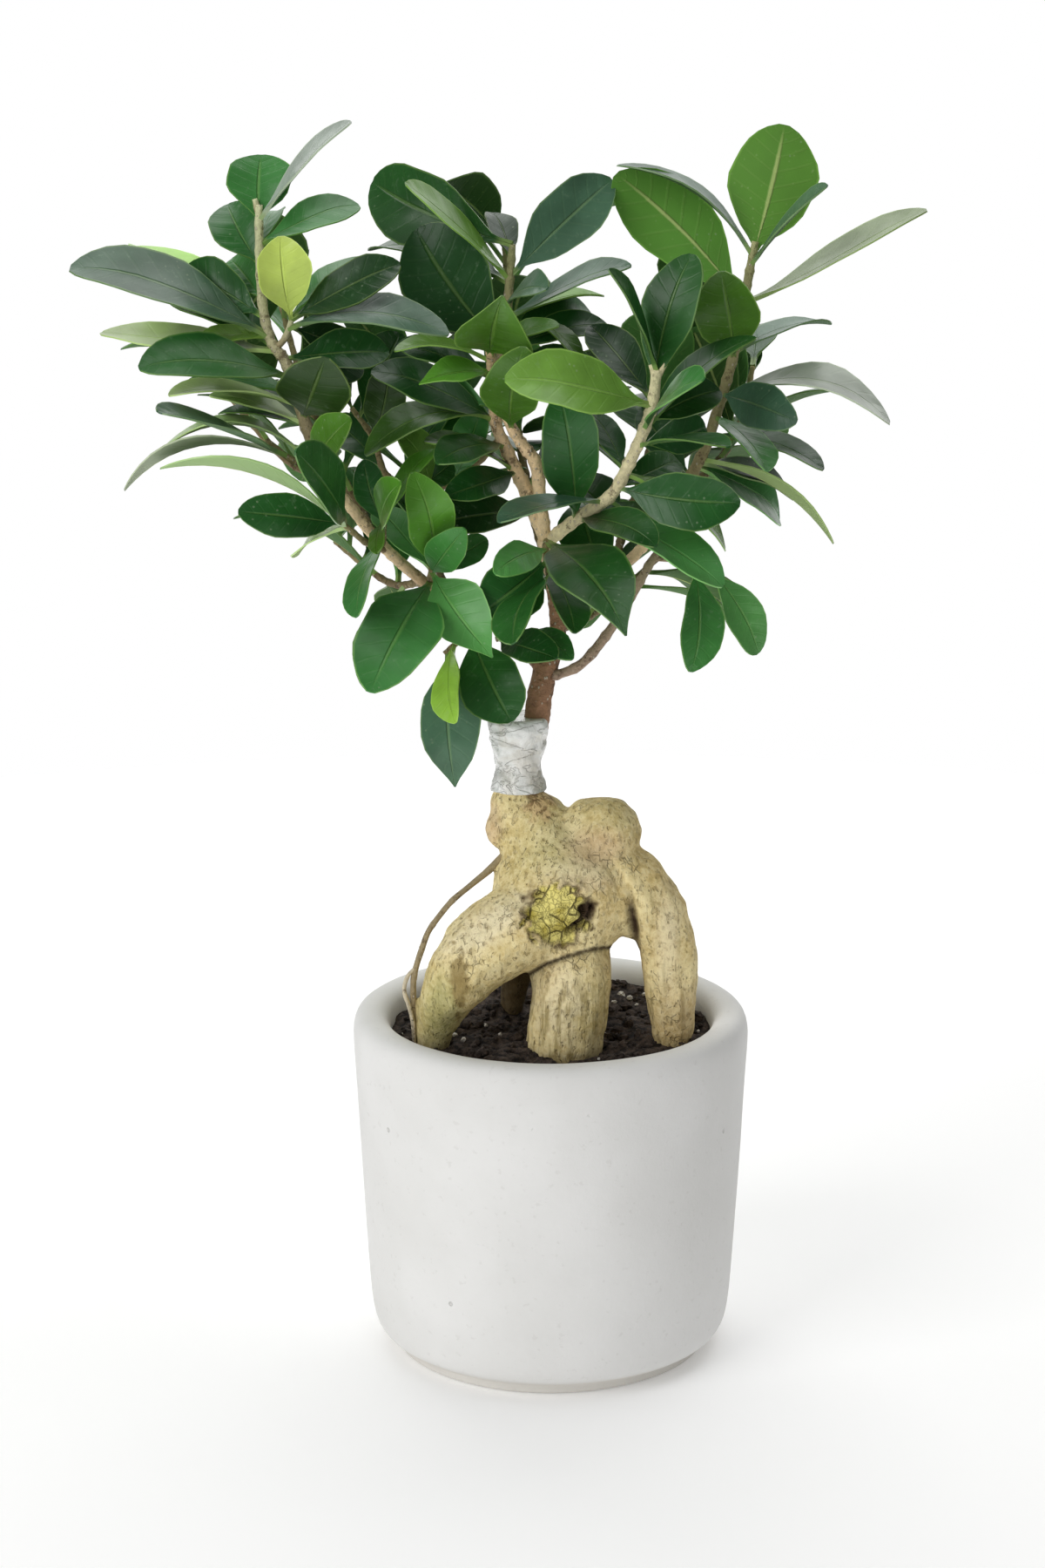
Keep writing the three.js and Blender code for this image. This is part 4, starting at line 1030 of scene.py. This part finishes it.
# ---------------------------------------------------------------------------------------------
# Graft tape
# ---------------------------------------------------------------------------------------------
# Radii and heights of the film
TAPE_OUTLINE = [(9.9, 203), (8.6, 206.5), (7.9, 210.5), (8.0, 213.5), (9.5, 219.5), (10.5, 224),
                (10.9, 227.4), (10.3, 228.6)]
TAPE_X = -11.5
TAPE_FOOT = 203
TAPE_HEIGHT = 25.6
TAPE_RINGS = 50
WRAP_PITCH = 6.3
tape_profile = [(5, 203.4), (8.6, 203.1)]
for k in range(TAPE_RINGS):
    height = TAPE_FOOT + TAPE_HEIGHT * k / (TAPE_RINGS - 1)
    radius = float(np.interp(height, [h for _, h in TAPE_OUTLINE], [r for r, _ in TAPE_OUTLINE]))
    tape_profile.append((radius, height + 0.01))
tape_profile += [(9.6, 229.0), (7, 228.9), (4, 228.7)]
tape = lathe("graft_film_wraps", tape_profile, 72)
co = places(tape)
angle = np.arctan2(co[:, 1], co[:, 0])
height = co[:, 2] / MM
wrap = ((height - TAPE_FOOT) / WRAP_PITCH + angle / (2 * math.pi)
        + 0.22 * np.sin(angle * 2 + 1) + 0.1 * np.sin(angle * 5)) % 1
ridge = np.where(wrap < 0.12, wrap / 0.12, 1 - (wrap - 0.12) / 0.88) - 0.5
crinkle = np.array([noise.noise(Vector((math.cos(a) * 2.6, math.sin(a) * 2.6, h * 0.22)))
                    + 0.6 * noise.noise(Vector((math.cos(a) * 6, math.sin(a) * 6, h * 0.4)))
                    for a, h in zip(angle, height)])
wide = np.hypot(co[:, 0], co[:, 1]) / MM
swell = 1 + np.where(wide > 7.5, (0.28 * ridge + 0.85 * crinkle) / 10, 0)
co[:, :2] *= swell[:, None]
co[:, 0] += TAPE_X * MM
put(tape, co)
smooth(tape, 50)
finished(tape, FILM, "graft_tape")


# ---------------------------------------------------------------------------------------------
# Scion wood
# ---------------------------------------------------------------------------------------------
wood = copied("scion_wood", "scion_wood_bark")
modify(wood, "REMESH", mode="VOXEL", voxel_size=0.55 * MM)
modify(wood, "SMOOTH", factor=0.5, iterations=9)
lumps(wood, 0.004, 0.0009)
lumps(wood, 0.0013, 0.0003)
co = places(wood)
tan = soft_step(co[:, 2] / MM, 268, 290)[:, None]
paint(wood, "tone",
      (1 - tan) * np.array((0.34, 0.185, 0.105)) + tan * np.array((0.86, 0.66, 0.40)))
smooth(wood)
finished(wood, TWIG, "scion_wood")


# ---------------------------------------------------------------------------------------------
# Leaves
# ---------------------------------------------------------------------------------------------
# Shares of the length, and of the half width there, from the stalk to the blunt tip
BLUNT_OUTLINE = [(0, 0.09), (0.07, 0.08), (0.12, 0.12), (0.17, 0.25), (0.24, 0.47), (0.32, 0.68),
                (0.41, 0.86), (0.50, 0.96), (0.60, 1.0), (0.70, 0.98), (0.79, 0.90), (0.87, 0.74),
                (0.93, 0.55), (0.97, 0.36), (1.0, 0.12)]
POINTED_OUTLINE = [(0, 0.09), (0.07, 0.08), (0.12, 0.12), (0.17, 0.28), (0.24, 0.54), (0.32, 0.77),
                   (0.41, 0.93), (0.50, 1.0), (0.60, 0.97), (0.70, 0.84), (0.79, 0.64), (0.87, 0.40),
                   (0.93, 0.21), (0.97, 0.10), (1.0, 0.03)]
LEAF_COLUMNS = 4
MASTER_THICKNESS = 0.05
STALK_THICKNESS = 1.5
BLADE_THICKNESS = 0.55
MIDRIB_THICKNESS = 0.5
# Greens of the leaves by letter. Most are the leaves' own greens, but some are lit or shaded copies:
# X, the darkest, is painted shade for leaves deep in the crown, G is greyed as a painted sheen on
# dark leaves and S is a silver grey as the painted sheen of leaves seen edge on.
TONES = {
    "X": (0.008, 0.045, 0.008), "D": (0.013, 0.086, 0.013), "N": (0.022, 0.118, 0.020),
    "M": (0.050, 0.222, 0.043), "B": (0.092, 0.330, 0.078), "K": (0.022, 0.065, 0.008),
    "A": (0.060, 0.165, 0.014), "V": (0.102, 0.320, 0.026), "L": (0.155, 0.330, 0.045),
    "U": (0.085, 0.280, 0.025), "T": (0.290, 0.560, 0.060), "Y": (0.680, 0.880, 0.170),
    "G": (0.062, 0.145, 0.080), "H": (0.085, 0.200, 0.115), "P": (0.400, 0.560, 0.230),
    "S": (0.480, 0.530, 0.430), "Q": (0.220, 0.320, 0.120),
}

# Young leaves are folded more
YOUNG_LETTERS = "av"
YOUNG_FOLD = 0.25
# Two tips that nod, by shoot and leaf: how far towards the upper face, in millimetres
NODS = {("leafy_stem_top", 0): -6.0, ("leafy_stem_top", 2): 10.0}


def leaf_master(name, outline):
    """One blade with its stalk, 1 long from 0 along +Y and 1 to each side, upper face up."""
    rows = len(outline)
    bpy.ops.object.select_all(action="DESELECT")
    bpy.ops.mesh.primitive_grid_add(x_subdivisions=LEAF_COLUMNS, y_subdivisions=rows - 1, size=2,
                                    calc_uvs=True, location=(0, 0, 0))
    blade = bpy.context.object
    blade.name = name
    aside = 10
    mesh = editing(blade)
    for k, (along, wide) in enumerate(outline):
        level = -1 + 2 * k / (rows - 1)
        pick(mesh, blade, lambda place: abs(place.y - level) < 1e-3)
        bpy.ops.transform.resize(value=(wide, 1, 1), center_override=(0, level, 0))
        bpy.ops.transform.translate(value=(0, aside + along - level, 0))
    bpy.ops.mesh.select_all(action="SELECT")
    bpy.ops.transform.translate(value=(0, -aside, 0))
    edited(blade)
    modify(blade, "SOLIDIFY", thickness=MASTER_THICKNESS, offset=0)
    blade.data.materials.append(LEAF_FACE)
    blade.data.materials.append(LEAF_BACK)
    for face in blade.data.polygons:
        face.material_index = 1 if face.normal.z < -0.5 else 0
    smooth(blade, 60)
    return blade


BLUNT_LEAF = leaf_master("blunt_leaf", BLUNT_OUTLINE)
POINTED_LEAF = leaf_master("pointed_leaf", POINTED_OUTLINE)


def grown(leaf, letter, draw, nod=0.0):
    """A copy of a master leaf, laid from its base to its tip, bowed, folded and slightly wavy.
    A small letter gives the same tone to a pointed leaf."""
    master = POINTED_LEAF if letter.islower() else BLUNT_LEAF
    blade = master.copy()
    blade.data = master.data.copy()
    bpy.context.collection.objects.link(blade)
    side, share, face = places(master).T
    axis = leaf["tip"] - leaf["base"]
    length = axis.length
    axis = axis / length
    normal = leaf["normal"] - axis * leaf["normal"].dot(axis)
    normal.normalize()
    across = axis.cross(normal)
    half = leaf["width"] / 2
    body = soft_step(share, 0.10, 0.22)
    thickness = STALK_THICKNESS + (BLADE_THICKNESS - STALK_THICKNESS) * body
    thickness = thickness + MIDRIB_THICKNESS * body * (np.abs(side) < 0.01) * (1 - share)
    calm = 0.25 + 0.75 * min(1.0, leaf["open"])
    phase, beat = draw.uniform(0, 2 * math.pi), draw.uniform(0.8, 1.5)
    twist = draw.uniform(-0.16, 0.16) * half * calm
    fold = leaf["fold"] + draw.uniform(0.0, 0.16) * calm
    if letter in YOUNG_LETTERS:
        fold += YOUNG_FOLD
    ripple = np.sin(2 * math.pi * beat * share + phase + (side > 0) * 1.7)
    wave = draw.uniform(0.4, 1.1) * calm * ripple
    curl = draw.uniform(0.0, 0.9) * calm * length * np.clip(share - 0.66, 0, 1) ** 2
    lift = (leaf["bow"] * 4 * share * (1 - share) + fold * half * np.abs(side) ** 1.2
            + body * (wave * side ** 2 + twist * side * share) - curl + nod * share ** 2)
    rise = face / MASTER_THICKNESS * thickness + lift
    lopsided = draw.uniform(-0.08, 0.08)
    sway = draw.uniform(-0.045, 0.045) * length * calm * 4 * share * (1 - share)
    ragged = 0.04 * np.sin(15 * share + 2.1 * phase + 1.3 * side) * body
    aside = side * half * (1 + lopsided * np.sign(side) + ragged) + sway
    co = (np.array(leaf["base"]) + np.outer(share * length, axis) + np.outer(aside, across)
          + np.outer(rise, normal))
    put(blade, co * MM)
    shift = 1 + draw.uniform(-0.16, 0.16)
    warm = draw.uniform(-0.06, 0.06)
    color = np.array(TONES[letter.upper()]) * shift * (1 + warm, 1, 1 - warm)
    paint(blade, "tone", np.tile(color, (len(co), 1)))
    return blade


def view_normal(base, tip, width_seen, width):
    """Which way a leaf's upper face looks, when the front view shows it this wide."""
    axis = (tip - base).normalized()
    facing = EYE - base.lerp(tip, 0.5)
    facing = (facing - axis * facing.dot(axis)).normalized()
    sideways = axis.cross(facing)
    if sideways.z < 0:
        sideways.negate()
    half = math.acos(min(1, abs(width_seen) / width))
    if width_seen < 0:
        half = math.pi - half
    return facing * math.cos(half) + sideways * math.sin(half)


# How much deeper or nearer than drawn a front leaf's tip may lie, in the order of trying
SWINGS = [0, -5, 5, -10, 10, -16, 16, -23, 23, -31, 31, -40, 40]
SAMPLES_PER_SPAN = 12
WIDEST_LEAF = 30
SLIMMEST_SHARE = 0.42
FOLD = 0.16
BACK_TRIES = 160
GOLDEN_ANGLE = math.radians(137.5)
TIP_FIT = 0.05


def front_leaf_ways(routes, row):
    """The ways in which a leaf of the front view may point: alike in that view, swung in depth."""
    stalk_x, stalk_z, tip_x, tip_z, width_seen, deeper, *bow = row
    base, nearest = None, math.inf
    for route in routes:
        samples = route.spans * SAMPLES_PER_SPAN
        for k in range(samples + 1):
            place = route.at(k / samples)
            x, z = in_front_view(place)
            if math.hypot(x - stalk_x, z - stalk_z) < nearest - 1e-9:
                base, nearest = place, math.hypot(x - stalk_x, z - stalk_z)
    ways = []
    for swing in SWINGS:
        tip = seen(tip_x, tip_z, base.y + deeper + swing)
        length = (tip - base).length
        width = min(WIDEST_LEAF, max(abs(width_seen), SLIMMEST_SHARE * length))
        ways.append({"base": base, "tip": tip, "width": width, "fold": FOLD,
                     "open": abs(width_seen) / width,
                     "normal": view_normal(base, tip, width_seen, width),
                     "bow": bow[0] if bow else 0.06 * length})
    return ways


def back_leaf_ways(route, shoot_number, j, leaves):
    """The ways in which leaf j of a back stem may point, a golden angle on from the one before."""
    t = 0.26 + 0.74 * j / (leaves - 1)
    base = route.at(t)
    along = (route.at(min(1, t + 0.02)) - route.at(t - 0.02)).normalized()
    level = Vector((0, 0, 1)).cross(along).normalized()
    upward = along.cross(level)
    ways = []
    for k in range(BACK_TRIES):
        count = (shoot_number * 20 + j) * 100 + k
        turn = j * GOLDEN_ANGLE + (chance(count) - 0.5) * (1 + k * 0.05)
        lean = 0.35 + 0.5 * chance(count + 0.3)
        length = (44 + 12 * chance(count + 0.6)) * (1 - 0.0025 * k)
        out = level * math.cos(turn) + upward * math.sin(turn)
        ways.append({"base": base, "tip": base + (out + along * lean).normalized() * length,
                     "normal": Vector((out.x * 0.5, 0.35 + out.y * 0.5, 1)),
                     "width": length * (0.42 + 0.06 * chance(count + 0.9)),
                     "bow": 0.09 * length, "fold": FOLD, "open": 1.0})
    return ways


def standing_way(node, ways):
    """The way that the node's solid has: the one whose tip is one of its corners. None where the
    solid has no such leaf."""
    corners = places(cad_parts[node]) / MM
    gaps = [float(np.min(np.linalg.norm(corners - np.array(way["tip"]), axis=1))) for way in ways]
    best = int(np.argmin(gaps))
    return ways[best] if gaps[best] < TIP_FIT else None


# Tones of a stem at its foot and at its top
STEM_TONES = {
    "leafy_stem_left": ((0.30, 0.22, 0.12), (0.66, 0.68, 0.40)),
    "leafy_stem_centre": ((0.88, 0.68, 0.40), (0.80, 0.56, 0.33)),
    "leafy_stem_right_front": ((0.78, 0.68, 0.41), (0.82, 0.75, 0.46)),
    "leafy_twig_right_low": ((0.42, 0.30, 0.22), (0.38, 0.30, 0.19)),
    "leafy_stem_right": ((0.30, 0.24, 0.12), (0.44, 0.43, 0.21)),
    "leafy_stem_top": ((0.34, 0.26, 0.14), (0.34, 0.34, 0.16)),
}
# Cut ends of stems
STUBS = {
    "leafy_stem_right_front": [[[35, 345.5, -29.5, 2.6], [33.4, 350.6, -30, 1.7]],
                               [[35.6, 346, -29.5, 2.6], [38.4, 351, -30, 1.5]]],
    "leafy_stem_left": [[[-98.3, 401, -14, 2.5], [-99.6, 406, -14, 1.7]]],
}
PLAIN_STEM = ((0.24, 0.17, 0.09), (0.32, 0.28, 0.13))


def stems(node, routes):
    """The stems of a shoot as one piece, browner below and greener or tanner above."""
    low, high = STEM_TONES.get(node, PLAIN_STEM)
    made = []
    for k, route in enumerate(routes + [Route(places) for places in STUBS.get(node, [])]):
        stem = tube(f"{node}_stem_{k}", route, knots=6.5 + k, knot_rise=0.2, wobble=0.2,
                    seed=len(node) + k)
        height = places(stem)[:, 2]
        share = ((height - height.min()) / max(1e-6, np.ptp(height)))[:, None]
        paint(stem, "tone", (1 - share) * np.array(low) + share * np.array(high))
        made.append(stem)
    finished(joined(f"{node}_wood", made), TWIG, node)


shoots = [(node, [Route(places) for places in shoot["stems"]], shoot, None)
          for node, shoot in FRONT_SHOOTS.items()]
shoots += [(node, [Route(shoot["stem"])], shoot, number)
           for number, (node, shoot) in enumerate(BACK_SHOOTS.items())]
for node, routes, shoot, number in shoots:
    draw = Random(node)
    stems(node, routes)
    blades = []
    if number is None:
        options = [front_leaf_ways(routes, row) for row in shoot["leaves"]]
        tones = shoot["tones"]
    else:
        count = shoot["leaves"]
        options = [back_leaf_ways(routes[0], number, j, count) for j in range(count)]
        tones = [draw.choice("DDNDMNd") for _ in options]
    for k, (ways, letter) in enumerate(zip(options, tones)):
        way = standing_way(node, ways)
        if way is not None:
            blades.append(grown(way, letter, draw, NODS.get((node, k), 0.0)))
    finished(joined(f"{node}_leaves", blades), None, node)
for master in (BLUNT_LEAF, POINTED_LEAF):
    bpy.data.objects.remove(master)


# ---------------------------------------------------------------------------------------------
# Studio
# ---------------------------------------------------------------------------------------------
FLOOR_RADIUS = 0.9
bpy.ops.object.select_all(action="DESELECT")
bpy.ops.mesh.primitive_circle_add(vertices=96, radius=FLOOR_RADIUS, fill_type="NGON",
                                  location=(0, 0, 0))
floor = bpy.context.object
floor.name = "studio_floor"
floor.data.materials.append(floor_finish())


def soft_light(name, place, aim, size, power):
    """A soft box that shines from its place towards its aim, unseen by the camera."""
    bpy.ops.object.select_all(action="DESELECT")
    way = Vector(aim) - Vector(place)
    bpy.ops.object.light_add(type="AREA", location=place,
                             rotation=way.to_track_quat("-Z", "Y").to_euler())
    lamp = bpy.context.object
    lamp.name = name
    lamp.data.shape = "RECTANGLE"
    lamp.data.size, lamp.data.size_y = size
    lamp.data.energy = power
    lamp.visible_camera = False
    return lamp


soft_light("key_left", (-1.5, -1.4, 1.3), (0, 0, 0.20), (1.3, 1.5), 21)
soft_light("front_fill", (-0.9, -2.0, 0.35), (0, 0, 0.20), (1.4, 1.0), 8).visible_glossy = False
soft_light("top_box", (0.1, 0.6, 1.9), (0, 0, 0.20), (2.2, 1.8), 23)
soft_light("white_backdrop", (0, 2.2, 0.95), (0, 0, 0.30), (3.4, 1.9), 24)

# A white room to the camera, dimmer as a light and dimmer still in the gloss
world = bpy.data.worlds.new("pale_room")
bpy.context.scene.world = world
world.use_nodes = True
room = world.node_tree
backdrop = room.nodes["Background"]
backdrop.inputs["Color"].default_value = (1, 1, 1, 1)
ray = room.nodes.new("ShaderNodeLightPath")
gloss = room.nodes.new("ShaderNodeMapRange")
gloss.inputs["To Min"].default_value = 0.25
gloss.inputs["To Max"].default_value = 0.07
room.links.new(ray.outputs["Is Glossy Ray"], gloss.inputs["Value"])
level = room.nodes.new("ShaderNodeMapRange")
level.inputs["To Max"].default_value = 1.0
room.links.new(ray.outputs["Is Camera Ray"], level.inputs["Value"])
room.links.new(gloss.outputs["Result"], level.inputs["To Min"])
room.links.new(level.outputs["Result"], backdrop.inputs["Strength"])
bpy.context.scene.view_settings.view_transform = "Standard"
